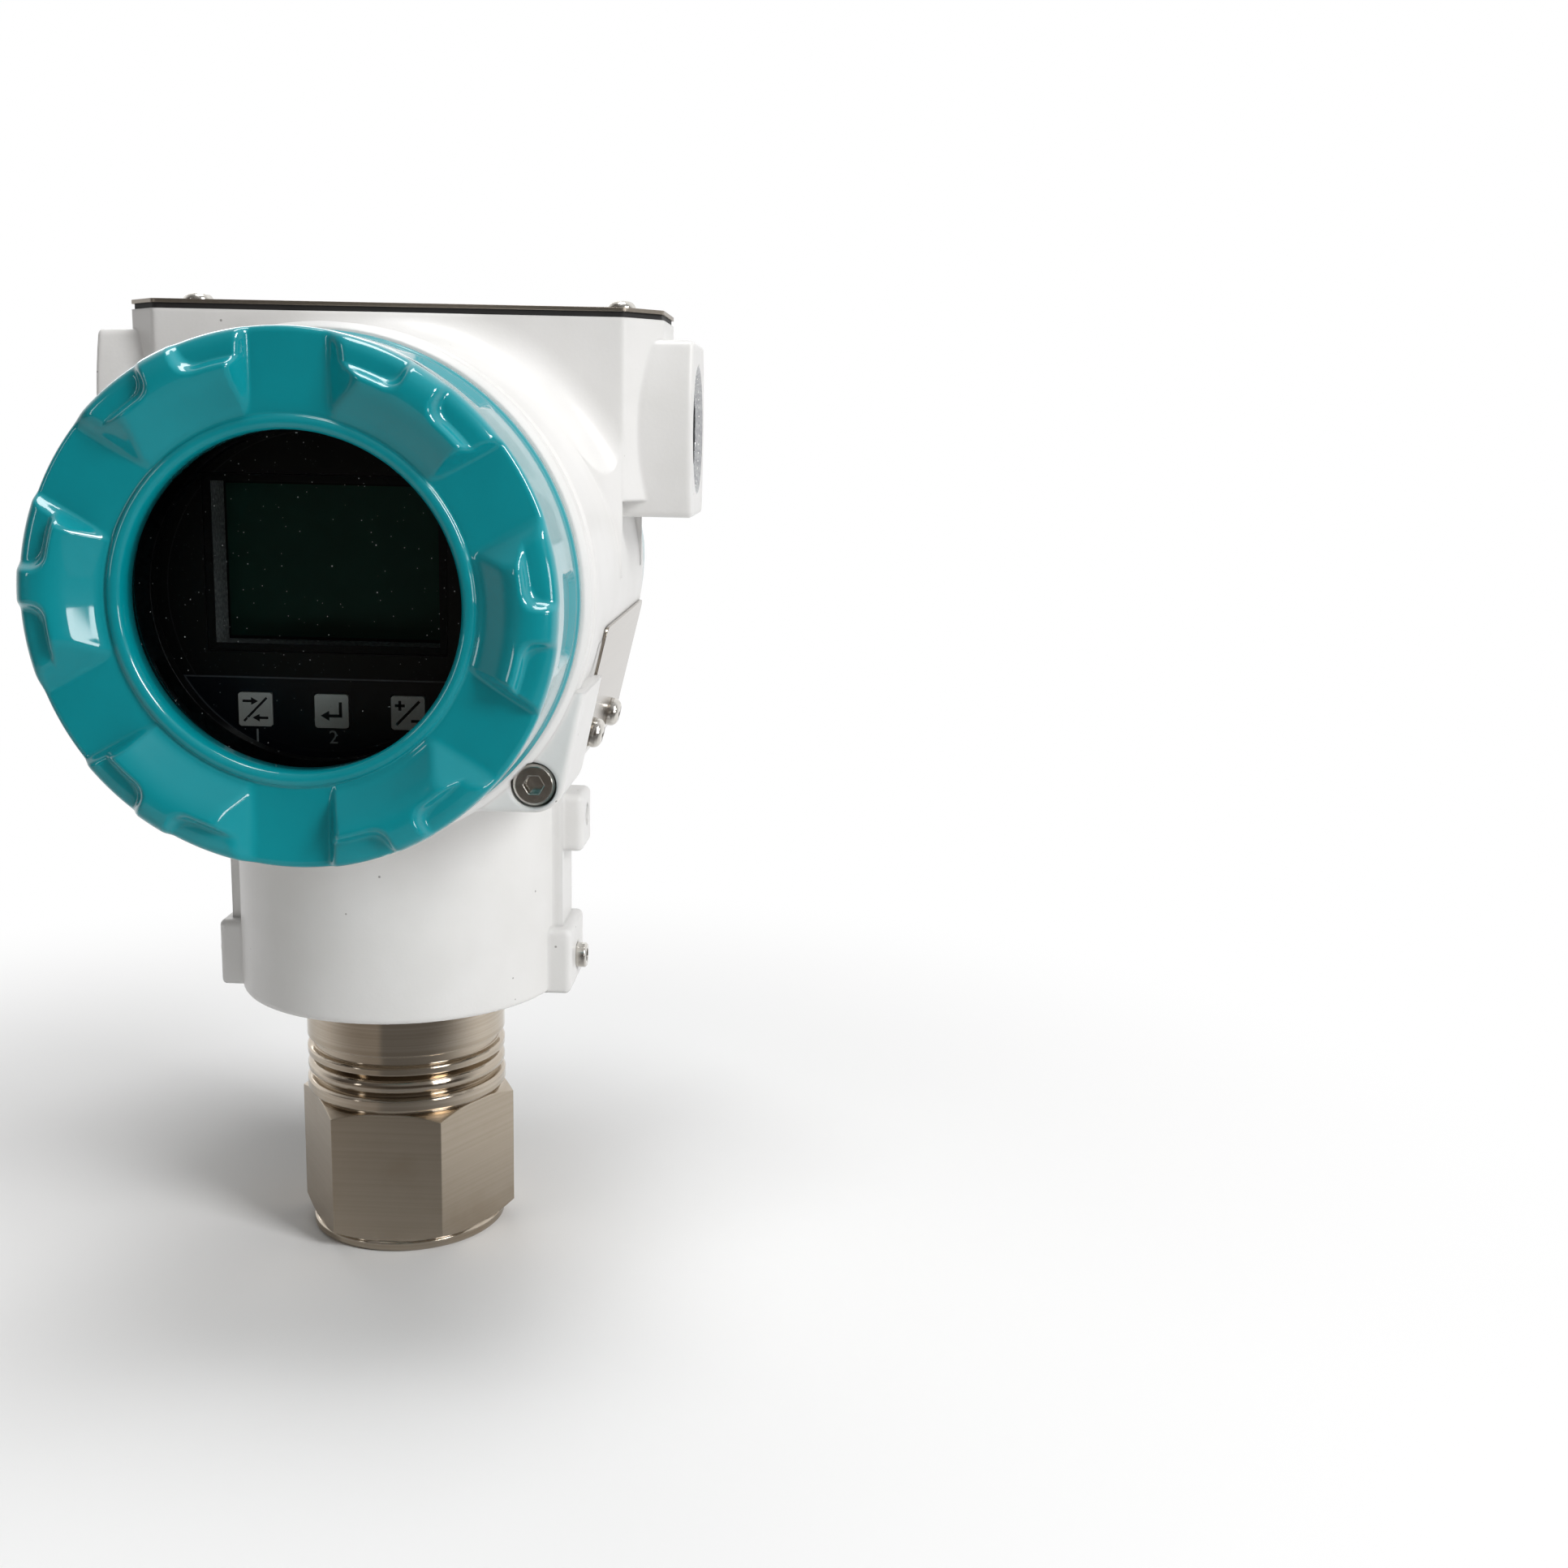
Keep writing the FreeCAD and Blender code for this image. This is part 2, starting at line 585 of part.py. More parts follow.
# ---------------------------------------------------------------- covers
def cover_outline(depth, has_window):
    """Half section of a cover; t = 0 is the rim that faces the housing."""
    r = cover_d / 2
    side = r - cover_side_step
    crest_t = depth + crest_rise
    skirt = [(skirt_bore_d / 2, -thread_length), (thread_d / 2 - 0.6, -thread_length),
             (thread_d / 2, -thread_length + 0.8), (thread_d / 2, -2.9), (thread_relief_d / 2, -2.6),
             (thread_relief_d / 2, 0)]
    rim = [(r - 0.8, 0), (r, 0.7), (r, cover_rim_height), (side, cover_rim_height + 0.5), (side, depth - 0.4)]
    shoulder = arc_points((side - 3.6, crest_t - 3.8), 3.6, 8, 84, 7)
    ramp = [(crest_r + crest_flat, crest_t), (crest_r, crest_t), (ramp_start_r, depth)]
    if has_window:
        lip_r = window_d / 2
        seat_t = depth - window_lip_depth
        front = [(lip_r + 2.3, depth), (lip_r + 1.9, depth + bezel_lip_height), (lip_r + 0.6, depth + bezel_lip_height),
                 (lip_r, depth), (lip_r, seat_t), (glass_d / 2 + fit_gap, seat_t),
                 (glass_d / 2 + fit_gap, retainer_bottom(depth) - 1.0),
                 (skirt_bore_d / 2, retainer_bottom(depth) - 1.0)]
    else:
        front = [(0, depth), (0, depth - cover_ceiling), (skirt_bore_d / 2 - 2, depth - cover_ceiling),
                 (skirt_bore_d / 2, depth - cover_ceiling - 2)]
    return skirt + rim + shoulder + ramp + front


def retainer_bottom(depth):
    """Inner end of the ring that holds the window glass."""
    return depth - window_lip_depth - window_gasket_thickness - glass_thickness - retainer_height


def notch_cutter(depth):
    """One grip notch on the local +X side: flat floor, flared walls, open at the rim."""
    height = crest_rise + 4
    flare = height * math.tan(math.radians(notch_flare_deg))
    half = notch_width / 2
    wires = []
    for r, floor in ((ramp_start_r, depth), (cover_d / 2 + 3, depth + notch_floor_rise)):
        points = [Vector(r, -half, floor), Vector(r, half, floor), Vector(r, half + flare, floor + height),
                  Vector(r, -half - flare, floor + height)]
        wires.append(Part.makePolygon(points + [points[0]]))
    return Part.makeLoft(wires, True, True)


def panel_cutter():
    """Shallow rounded panel in the side wall on the local +X side."""
    r = cover_d / 2 - cover_side_step
    plate = rounded_block(panel_end - panel_start, panel_width, 12, panel_corner_r)
    plate.rotate(Vector(0, 0, 0), Y_AXIS, 90)
    plate.translate(Vector(r - 6, 0, (panel_start + panel_end) / 2))
    shell = ring(2 * r + 10, 2 * (r - panel_depth), panel_start - 2, panel_end + 2)
    return plate.common(shell)


def slot_cutter(depth):
    """The lowered outer shelf of every land, with a full-height tooth left at each land's middle."""
    floor = depth + crest_rise - slot_depth
    shelf = ring(cover_d + 10, 2 * crest_r, floor, depth + crest_rise + 2)
    for k in range(notch_count):
        tooth = box(crest_r - 4, cover_d / 2 + 6, -tooth_width / 2, tooth_width / 2, floor - 1,
                    depth + crest_rise + 3)
        tooth.rotate(Vector(0, 0, 0), Z_AXIS, k * 360 / notch_count)
        shelf = shelf.cut(tooth)
    return shelf


def cover(depth, has_window):
    """Cast cover with grip notches between ramped lands, about a local Z."""
    body = turned(cover_outline(depth, has_window))
    body = body.cut(slot_cutter(depth))
    step = 360 / notch_count
    for k in range(notch_count):
        notch = notch_cutter(depth)
        notch.rotate(Vector(0, 0, 0), Z_AXIS, (k + 0.5) * step)
        body = body.cut(notch)
        if depth - 2 > panel_end:
            panel = panel_cutter()
            panel.rotate(Vector(0, 0, 0), Z_AXIS, k * step)
            body = body.cut(panel)
    return body


def cover_seal():
    """O-ring in the gland behind a cover's rim, about a local Z."""
    inner = thread_relief_d / 2 + fit_gap
    centre = inner + oring_section_d / 2
    return turned(arc_points((centre, -oring_section_d / 2 - fit_gap), oring_section_d / 2, 0, 330, 12))


def window_pieces(depth):
    """Gasket, glass and threaded retaining ring, stacked inwards from the window's lip."""
    top = depth - window_lip_depth
    gasket = ring(glass_d, window_d + 0.6, top - window_gasket_thickness, top)
    glass_top = top - window_gasket_thickness
    r = glass_d / 2
    glass = turned([(0, glass_top - glass_thickness), (r - 0.4, glass_top - glass_thickness),
                    (r, glass_top - glass_thickness + 0.4), (r, glass_top - 0.4), (r - 0.4, glass_top), (0, glass_top)])
    low = retainer_bottom(depth)
    retainer = ring(glass_d, window_d + 1.0, low, glass_top - glass_thickness)
    for angle in (0, 180):
        pocket = rod(Vector(glass_d / 2 - 1.5, 0, low - 1), Z_AXIS, 1.6, 2.2)
        pocket.rotate(Vector(0, 0, 0), Z_AXIS, angle)
        retainer = retainer.cut(pocket)
    return gasket, glass, retainer


# ---------------------------------------------------------------- display and electronics
def key_places():
    return [key_middle_x - key_pitch, key_middle_x, key_middle_x + key_pitch]


def bezel_back_y():
    return display_front_y + display_bezel_thickness


def screen_front_y():
    return display_front_y + screen_recess


def display_board_y():
    """Front face of the display board, which the screen lies on."""
    return screen_front_y() + screen_thickness


def centred_block(x, z, width, height, front, back):
    """A block given by the centre and size of its front face."""
    return box(x - width / 2, x + width / 2, front, back, z - height / 2, z + height / 2)


def display_bezel():
    """Round front plate with the screen window and three key windows."""
    plate = rod(Vector(0, display_front_y, barrel_axis_z), Y_AXIS, 2 * display_r, display_bezel_thickness)
    edge = [e for e in plate.Edges if e.Closed and e.CenterOfMass.y < display_front_y + 0.1]
    plate = plate.makeFillet(0.8, edge)
    front = display_front_y - 1
    back = bezel_back_y() + 1
    around = 2 * (screen_frame_wall + fit_gap)
    plate = plate.cut(centred_block(0, screen_centre_z, screen_window[0] + around, screen_window[1] + around,
                                    front, back))
    for x in key_places():
        hole = key_size + 2 * fit_gap
        plate = plate.cut(centred_block(x, key_z, hole, hole, front, back))
    return plate


def screen_frame():
    """Light grey collar that lines the window from the bezel's face down to the screen."""
    front = display_front_y + 0.1
    back = screen_front_y()
    outer = centred_block(0, screen_centre_z, screen_window[0] + 2 * screen_frame_wall,
                          screen_window[1] + 2 * screen_frame_wall, front, back)
    return outer.cut(centred_block(0, screen_centre_z, screen_window[0], screen_window[1], front - 1, back + 1))


def screen_panel():
    return centred_block(0, screen_centre_z, screen_window[0] + 2 * screen_frame_wall,
                         screen_window[1] + 2 * screen_frame_wall, screen_front_y(), display_board_y())


def key(x):
    """Square key cap with a flange behind the bezel and a stem that reaches its switch."""
    flange_front = bezel_back_y() + fit_gap
    flange_back = flange_front + key_flange_thickness
    cap = centred_block(x, key_z, key_size, key_size, display_front_y - key_proud, flange_back)
    upright = [e for e in cap.Edges if abs(e.tangentAt(e.FirstParameter).y) > 0.9]
    cap = cap.makeFillet(0.5, upright)
    flange_size = key_size + 2 * key_flange
    flange = centred_block(x, key_z, flange_size, flange_size, flange_front, flange_back)
    stem = rod(Vector(x, flange_back - 0.2, key_z), Y_AXIS, key_stem_d,
               switch_front_y() - key_travel - fit_gap - flange_back + 0.2)
    return cap.fuse([flange, stem]).removeSplitter()


def switch_front_y():
    return display_board_y() - switch_height


def key_switches():
    """Dome switches on the display board, one behind each key."""
    return [rod(Vector(x, switch_front_y(), key_z), Y_AXIS, switch_d, switch_height) for x in key_places()]


def display_board():
    return rod(Vector(0, display_board_y(), barrel_axis_z), Y_AXIS, 2 * (display_r - 1.5), board_thickness)


def display_carrier():
    """Shallow tray that holds the display stack together."""
    back = -carrier_back_y
    ledge = -(display_board_y() + board_thickness)
    rim = -bezel_back_y()
    outline = [(10, back), (display_r, back), (display_r, rim), (display_r - 1.2, rim), (display_r - 1.2, ledge),
               (display_r - 3.5, ledge), (display_r - 3.5, back + 2), (10, back + 2)]
    return facing_front(turned(outline), 0, barrel_axis_z)


def display_standoffs():
    """Posts between the main board and the display's tray."""
    posts = []
    for k in range(3):
        a = math.radians(90 + 120 * k)
        x = standoff_circle_r * math.cos(a)
        z = barrel_axis_z + standoff_circle_r * math.sin(a)
        posts.append(rod(Vector(x, carrier_back_y, z), Y_AXIS, 5.0, main_board_y - carrier_back_y))
    return posts


def main_board():
    return rod(Vector(0, main_board_y, barrel_axis_z), Y_AXIS, main_board_d, board_thickness)


def electronics_module():
    """Potted electronics can that fills the front compartment behind the display."""
    back = partition_front_y - seat_gap
    can = rod(Vector(0, module_front_y, barrel_axis_z), Y_AXIS, module_d, back - module_front_y)
    edges = [e for e in can.Edges if e.Closed]
    return can.makeFillet(1.5, edges)


# ---------------------------------------------------------------- terminal side
def terminal_z():
    return 119.0


def feedthrough_d():
    return 12.0


def feedthrough():
    """Sealed plug that takes the signal wires through the partition."""
    back = partition_rear_y
    front = partition_front_y
    return rod(Vector(0, front, terminal_z()), Y_AXIS, feedthrough_d(), back - front)


def terminal_block_screw_places():
    half = terminal_count * terminal_pitch / 2 + 4
    return [(-half, terminal_z()), (half, terminal_z())]


def terminal_block():
    """Moulded strip with a barrier between neighbouring terminals."""
    half = terminal_count * terminal_pitch / 2
    front = partition_rear_y
    block = box(-half - 8, half + 8, front, front + 4, terminal_z() - 6, terminal_z() + 6)
    block = block.fuse(box(-half - 0.8, half + 0.8, front, front + 8, terminal_z() - 11, terminal_z() + 11))
    for k in range(terminal_count + 1):
        x = -half + k * terminal_pitch
        block = block.fuse(box(x - 0.8, x + 0.8, front, front + 13, terminal_z() - 11, terminal_z() + 11))
    for x, z in terminal_block_screw_places():
        block = block.cut(rod(Vector(x, front - 1, z), Y_AXIS, pan_m3["shank_d"] + fit_gap * 2, 6))
    for x in terminal_places():
        block = block.cut(rod(Vector(x, front + 2, terminal_z()), Y_AXIS, pan_m3["shank_d"] + fit_gap * 2, 8))
    return block.removeSplitter()


def terminal_places():
    first = -(terminal_count - 1) * terminal_pitch / 2
    return [first + k * terminal_pitch for k in range(terminal_count)]


def terminal_clamps():
    """Square saddle washers under the terminal screws."""
    base = partition_rear_y + 8
    clamps = []
    for x in terminal_places():
        plate = box(x - 3.6, x + 3.6, base, base + 1.2, terminal_z() - 4.2, terminal_z() + 4.2)
        clamps.append(plate.cut(rod(Vector(x, base - 1, terminal_z()), Y_AXIS, pan_m3["shank_d"] + fit_gap * 2, 4)))
    return clamps


def terminal_screws():
    base = partition_rear_y + 8 + 1.2
    return [along(pan_screw(**pan_m3), Vector(x, base, terminal_z()), Y_AXIS) for x in terminal_places()]


def terminal_block_screws():
    base = partition_rear_y + 4
    short = dict(pan_m3, length=6.5)
    return [along(pan_screw(**short), Vector(x, base, z), Y_AXIS) for x, z in terminal_block_screw_places()]


# ---------------------------------------------------------------- plates and outer fasteners
def top_sheet(bottom, thickness, inset):
    """A sheet with the outline of the housing's top and a hole at each end."""
    sheet = prism(top_outline(inset, bottom), Vector(0, 0, thickness))
    upright = [e for e in sheet.Edges if abs(e.tangentAt(e.FirstParameter).z) > 0.9]
    sheet = sheet.makeFillet(1.6, upright)
    for side in (-1, 1):
        sheet = sheet.cut(rod(Vector(side * top_screw_x, conduit_y, bottom - 1), Z_AXIS,
                              pan_m3["shank_d"] + 3 * fit_gap, thickness + 2))
    return sheet


def top_plate_gasket():
    return top_sheet(top_face_z, gasket_thickness, 0.4)


def top_plate():
    return top_sheet(top_face_z + gasket_thickness, top_plate_thickness, 0.0)


def top_plate_screws():
    seat = top_face_z + gasket_thickness + top_plate_thickness
    return [along(pan_screw(**pan_m3), Vector(side * top_screw_x, conduit_y, seat), Z_AXIS) for side in (-1, 1)]


def nameplate_point(s, y, side):
    """Point on a pad at distance s down it, and the pad's outward normal."""
    foot, normal, down = pad_frame()
    point = foot + down * s
    return Vector(side * point.x, y, point.z), Vector(side * normal.x, 0, normal.z)


def nameplate():
    """Blank stainless plate on the right-hand pad."""
    foot, normal, down = pad_frame()
    centre = foot + down * (nameplate_top_s + nameplate_height / 2)
    centre.y = nameplate_rear_y - nameplate_length / 2
    plate = rounded_block(nameplate_height, nameplate_length, nameplate_thickness, nameplate_corner_r)
    for y in (nameplate_screw_front_y, nameplate_screw_rear_y):
        local_x = nameplate_screw_s - nameplate_top_s - nameplate_height / 2
        hole = rod(Vector(local_x, y - centre.y, -1), Z_AXIS, pan_m3["shank_d"] + 3 * fit_gap, 3)
        plate = plate.cut(hole)
    turn = FreeCAD.Rotation(down, Y_AXIS, normal, "XYZ")
    plate.Placement = FreeCAD.Placement(centre, turn)
    return plate


def nameplate_screws():
    screws = []
    short = dict(pan_m3, length=6.0)
    for side in (-1, 1):
        for y in (nameplate_screw_front_y, nameplate_screw_rear_y):
            foot, normal = nameplate_point(nameplate_screw_s, y, side)
            screws.append(along(pan_screw(**short), foot + normal * nameplate_thickness, normal))
    return screws


def ground_stack_x():
    """Heights of the ground screw's flat washer, spring washer and head above the axis."""
    flat_top = ground_boss_half_span + 0.9
    return flat_top, flat_top + 1.3


def ground_flat_washer():
    flat_top, spring_top = ground_stack_x()
    washer = ring(9.4, 4.3, 0, flat_top - ground_boss_half_span)
    return along(washer, Vector(-ground_boss_half_span, 0, ground_z), Vector(-1, 0, 0))


def ground_spring_washer():
    """Split spring washer with a slanting gap."""
    flat_top, spring_top = ground_stack_x()
    washer = ring(7.4, 4.3, 0, spring_top - flat_top)
    gap = prism([Vector(1.5, -0.1, -1), Vector(5, -0.1, -1), Vector(5, 0.4, -1), Vector(1.5, 0.4, -1)],
                Vector(0, 0.6, 4))
    return along(washer.cut(gap), Vector(-flat_top, 0, ground_z), Vector(-1, 0, 0))


def ground_screw():
    flat_top, spring_top = ground_stack_x()
    return along(pan_screw(**pan_m4), Vector(-spring_top, 0, ground_z), Vector(-1, 0, 0))


def neck_set_screws():
    screws = []
    for side in (-1, 1):
        tip = neck_bore_d / 2 + fit_gap
        outer = lug_half_span + 1.9
        screws.append(along(socket_set_screw(4.8, outer - tip, 2.5), Vector(side * outer, 0, set_screw_z()),
                            Vector(side, 0, 0)))
    return screws


def cover_lock_screw():
    """Socket head screw that stops the front cover from being turned."""
    seat_y = ear_front_y + lock_seat_depth()
    head_height = 4.0
    head = rod(Vector(0, 0, 0), Z_AXIS, lock_head_d(), head_height)
    head = head.makeChamfer(0.4, [e for e in head.Edges if e.Closed and e.CenterOfMass.z > 1])
    head = head.cut(hexagon(3.0, 3, head_height - 2.2))
    shank = rod(Vector(0, 0, -lock_shank_length), Z_AXIS, lock_shank_d, lock_shank_length + 0.5)
    screw = head.fuse(shank).removeSplitter()
    return along(screw, Vector(lock_x, seat_y, lock_z), Vector(0, -1, 0))


# ---------------------------------------------------------------- all pieces
def pieces():
    """Every sub-part by name."""
    gasket, glass, retainer = window_pieces(front_cover_depth)
    front_y = front_face_y - cover_gap
    rear_y = rear_face_y + cover_gap
    parts = {
        "process_connection": process_connection(),
        "neck_seal": neck_seal(),
        "sensor_capsule": sensor_capsule(),
        "sensor_connector": sensor_connector(),
        "housing": housing(),
        "front_cover": facing_front(cover(front_cover_depth, True), front_y, barrel_axis_z),
        "front_cover_seal": facing_front(cover_seal(), front_y, barrel_axis_z),
        "window_gasket": facing_front(gasket, front_y, barrel_axis_z),
        "window_glass": facing_front(glass, front_y, barrel_axis_z),
        "window_retaining_ring": facing_front(retainer, front_y, barrel_axis_z),
        "rear_cover": facing_rear(cover(rear_cover_depth, False), rear_y, barrel_axis_z),
        "rear_cover_seal": facing_rear(cover_seal(), rear_y, barrel_axis_z),
        "cover_lock_screw": cover_lock_screw(),
        "top_plate_gasket": top_plate_gasket(),
        "top_plate": top_plate(),
        "top_plate_screws": top_plate_screws(),
        "nameplate_right": nameplate(),
        "nameplate_left": mirrored(nameplate()),
        "nameplate_screws": nameplate_screws(),
        "ground_screw": ground_screw(),
        "ground_spring_washer": ground_spring_washer(),
        "ground_flat_washer": ground_flat_washer(),
        "neck_set_screws": neck_set_screws(),
        "display_bezel": display_bezel(),
        "screen_frame": screen_frame(),
        "screen_panel": screen_panel(),
        "key_switches": key_switches(),
        "display_board": display_board(),
        "display_carrier": display_carrier(),
        "display_standoffs": display_standoffs(),
        "main_board": main_board(),
        "electronics_module": electronics_module(),
        "feedthrough": feedthrough(),
        "terminal_block": terminal_block(),
        "terminal_clamps": terminal_clamps(),
        "terminal_screws": terminal_screws(),
        "terminal_block_screws": terminal_block_screws(),
    }
    for name, x in zip(("key_left", "key_middle", "key_right"), key_places()):
        parts[name] = key(x)
    return parts


def main():
    os.makedirs("parts", exist_ok=True)
    for name, shape in pieces().items():
        solid = Part.makeCompound(shape) if isinstance(shape, list) else shape
        solid.exportStep(os.path.join("parts", name + ".step"))


main()
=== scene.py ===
import json
import math

import bmesh
import bpy
import numpy as np
from mathutils import Matrix, Vector


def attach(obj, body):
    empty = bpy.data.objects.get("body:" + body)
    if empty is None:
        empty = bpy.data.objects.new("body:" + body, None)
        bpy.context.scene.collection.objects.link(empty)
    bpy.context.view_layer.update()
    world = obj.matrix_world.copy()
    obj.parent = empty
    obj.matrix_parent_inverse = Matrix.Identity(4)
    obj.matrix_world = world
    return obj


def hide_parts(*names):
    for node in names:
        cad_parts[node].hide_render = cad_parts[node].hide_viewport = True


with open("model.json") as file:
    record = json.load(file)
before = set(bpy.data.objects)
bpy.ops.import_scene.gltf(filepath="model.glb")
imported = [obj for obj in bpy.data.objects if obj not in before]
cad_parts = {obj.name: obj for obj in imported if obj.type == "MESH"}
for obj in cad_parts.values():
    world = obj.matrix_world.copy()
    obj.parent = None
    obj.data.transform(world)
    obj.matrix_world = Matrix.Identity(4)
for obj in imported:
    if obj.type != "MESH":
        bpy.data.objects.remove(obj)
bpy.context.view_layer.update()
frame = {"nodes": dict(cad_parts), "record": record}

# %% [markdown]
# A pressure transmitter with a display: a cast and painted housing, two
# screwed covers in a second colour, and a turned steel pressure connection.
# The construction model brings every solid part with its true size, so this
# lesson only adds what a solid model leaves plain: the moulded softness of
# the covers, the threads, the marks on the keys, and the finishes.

MM = 0.001
AXIS_Z = 127.5          # height of the barrel's axis, in mm
WHITE = (1.0, 1.0, 1.0)
bpy.context.scene.view_settings.view_transform = "Standard"

# %% [markdown]
# Every new piece below is a surface worked out on a grid: row i and column j
# give one point. A grid can be closed along its columns, such as a ring, and
# along its rows as well, such as a tube bent into a ring. One function turns
# such a grid of points into a mesh, so the shapes themselves stay formulas.


# %% From a grid of points to a mesh
def surface(name, points, close_rows=False, close_columns=True, turn_over=False):
    """Quads between neighbouring points of a grid (rows, columns, xyz), in mm; closed where asked."""
    rows, columns = points.shape[:2]
    index = np.arange(rows * columns).reshape(rows, columns)
    if close_columns:
        index = np.hstack([index, index[:, :1]])
    if close_rows:
        index = np.vstack([index, index[:1]])
    corners = [index[:-1, :-1], index[1:, :-1], index[1:, 1:], index[:-1, 1:]]
    quads = np.stack(corners, axis=-1).reshape(-1, 4)
    if turn_over:
        quads = quads[:, ::-1]
    mesh = bpy.data.meshes.new(name)
    mesh.from_pydata((points.reshape(-1, 3) * MM).tolist(), [], quads.tolist())
    mesh.validate()
    mesh.shade_smooth()
    piece = bpy.data.objects.new(name, mesh)
    bpy.context.scene.collection.objects.link(piece)
    return piece


def merge_doubles(piece, distance=1e-7):
    """Joins points that lie on each other, so poles and seams are closed."""
    work = bmesh.new()
    work.from_mesh(piece.data)
    bmesh.ops.remove_doubles(work, verts=work.verts, dist=distance)
    bmesh.ops.dissolve_degenerate(work, edges=work.edges, dist=distance)
    work.to_mesh(piece.data)
    work.free()
    piece.data.shade_smooth()


def place(piece, body, finish, replaced=()):
    """Hangs a finished piece on its body and gives it its slot and material."""
    piece.data.materials.clear()
    piece.data.materials.append(finish)
    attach(piece, body)
    for node in replaced:
        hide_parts(node)
    triangles = sum(len(p.vertices) - 2 for p in piece.data.polygons)
    print(f"{piece.name}: {triangles} triangles")
    return piece


# %% [markdown]
# Soft edges come from blending two shapes instead of cutting one by the
# other. smooth_min follows the lower of two heights and rounds the corner
# where they cross; smooth_max does the same for the higher one. Outside the
# rounding width they are exactly the plain minimum and maximum.


# %% Blending formulas
def smooth_min(a, b, width):
    """Lower of a and b, with a parabola of the given width where they cross."""
    h = np.maximum(width - np.abs(a - b), 0) / width
    return np.minimum(a, b) - h * h * width / 4


def smooth_max(a, b, width):
    """Higher of a and b, with a parabola of the given width where they cross."""
    return -smooth_min(-a, -b, width)


def ease(x, low, high):
    """0 below low, 1 above high, and a smooth S curve between them."""
    s = np.clip((x - low) / (high - low), 0, 1)
    return s * s * (3 - 2 * s)


def spread(stops):
    """Values from (start, end, count) runs in a row, without the last end."""
    return np.concatenate([np.linspace(a, b, n, endpoint=False) for a, b, n in stops])


# %% [markdown]
# The housing, the covers and the keys are seen best from a little above,
# with a normal lens about a third of a metre away. The camera is set by its
# place and by where its three axes point.

# %% Camera
CAMERA_TURN = Vector((1.7649495, 0.0415963, -0.0022953))    # axis times angle, in radians
CAMERA_SHIFT = Vector((-74.67752, 85.36733, 355.71245))     # origin as the camera sees it, in mm
FOCAL_PER_WIDTH = 2189.796 / 1932                           # focal length over the frame's width
SENSOR_WIDTH = 36
turn = Matrix.Rotation(CAMERA_TURN.length, 3, CAMERA_TURN.normalized())
eye = -(turn.transposed() @ CAMERA_SHIFT) * MM
axes = Matrix((turn[0], -turn[1], -turn[2])).transposed()
lens = bpy.data.cameras.new("camera")
lens.sensor_width = SENSOR_WIDTH
lens.lens = FOCAL_PER_WIDTH * SENSOR_WIDTH
lens.clip_start = 0.01
camera = bpy.data.objects.new("camera", lens)
camera.matrix_world = Matrix.Translation(eye) @ axes.to_4x4()
bpy.context.scene.collection.objects.link(camera)
bpy.context.scene.camera = camera
print("camera at", [round(v, 3) for v in eye], "lens", round(lens.lens, 1))

# %% [markdown]
# Shader maths reads best as ordinary expressions. The class Field wraps one
# socket; plus, minus, times and power between fields or numbers add the Math
# node that does the sum. Any other node is made by Finish.node, which takes
# the node's type, its settings and the values or links of its sockets.
# Numbers that are the same all over go straight to the socket.


# %% Shader expressions
class Field:
    """A socket that carries one number; operators on it add Math nodes."""

    def __init__(self, finish, socket):
        self.finish = finish
        self.socket = socket

    def math(self, operation, *others):
        inputs = dict(enumerate((self, *others)))
        return self.finish.node("ShaderNodeMath", {"operation": operation}, inputs)[0]

    def __add__(self, other):
        return self.math("ADD", other)

    def __mul__(self, other):
        return self.math("MULTIPLY", other)

    def __sub__(self, other):
        return self.math("SUBTRACT", other)

    def __pow__(self, other):
        return self.math("POWER", other)

    def __neg__(self):
        return self.math("MULTIPLY", -1.0)

    def __abs__(self):
        return self.math("ABSOLUTE")

    def __rsub__(self, other):
        return -self + other

    __radd__ = __add__
    __rmul__ = __mul__

    def step(self, low, high):
        """0 below low, 1 above high, smooth between; low may be above high."""
        up = low < high
        a, b = (low, high) if up else (high, low)
        settings = {"interpolation_type": "SMOOTHSTEP"}
        made = self.finish.node("ShaderNodeMapRange", settings,
                                {"Value": self, "From Min": a, "From Max": b,
                                 "To Min": 0.0 if up else 1.0, "To Max": 1.0 if up else 0.0})
        return made[0]

    def most(self, other):
        """The larger of the two, which joins two masks."""
        return self.math("MAXIMUM", other)


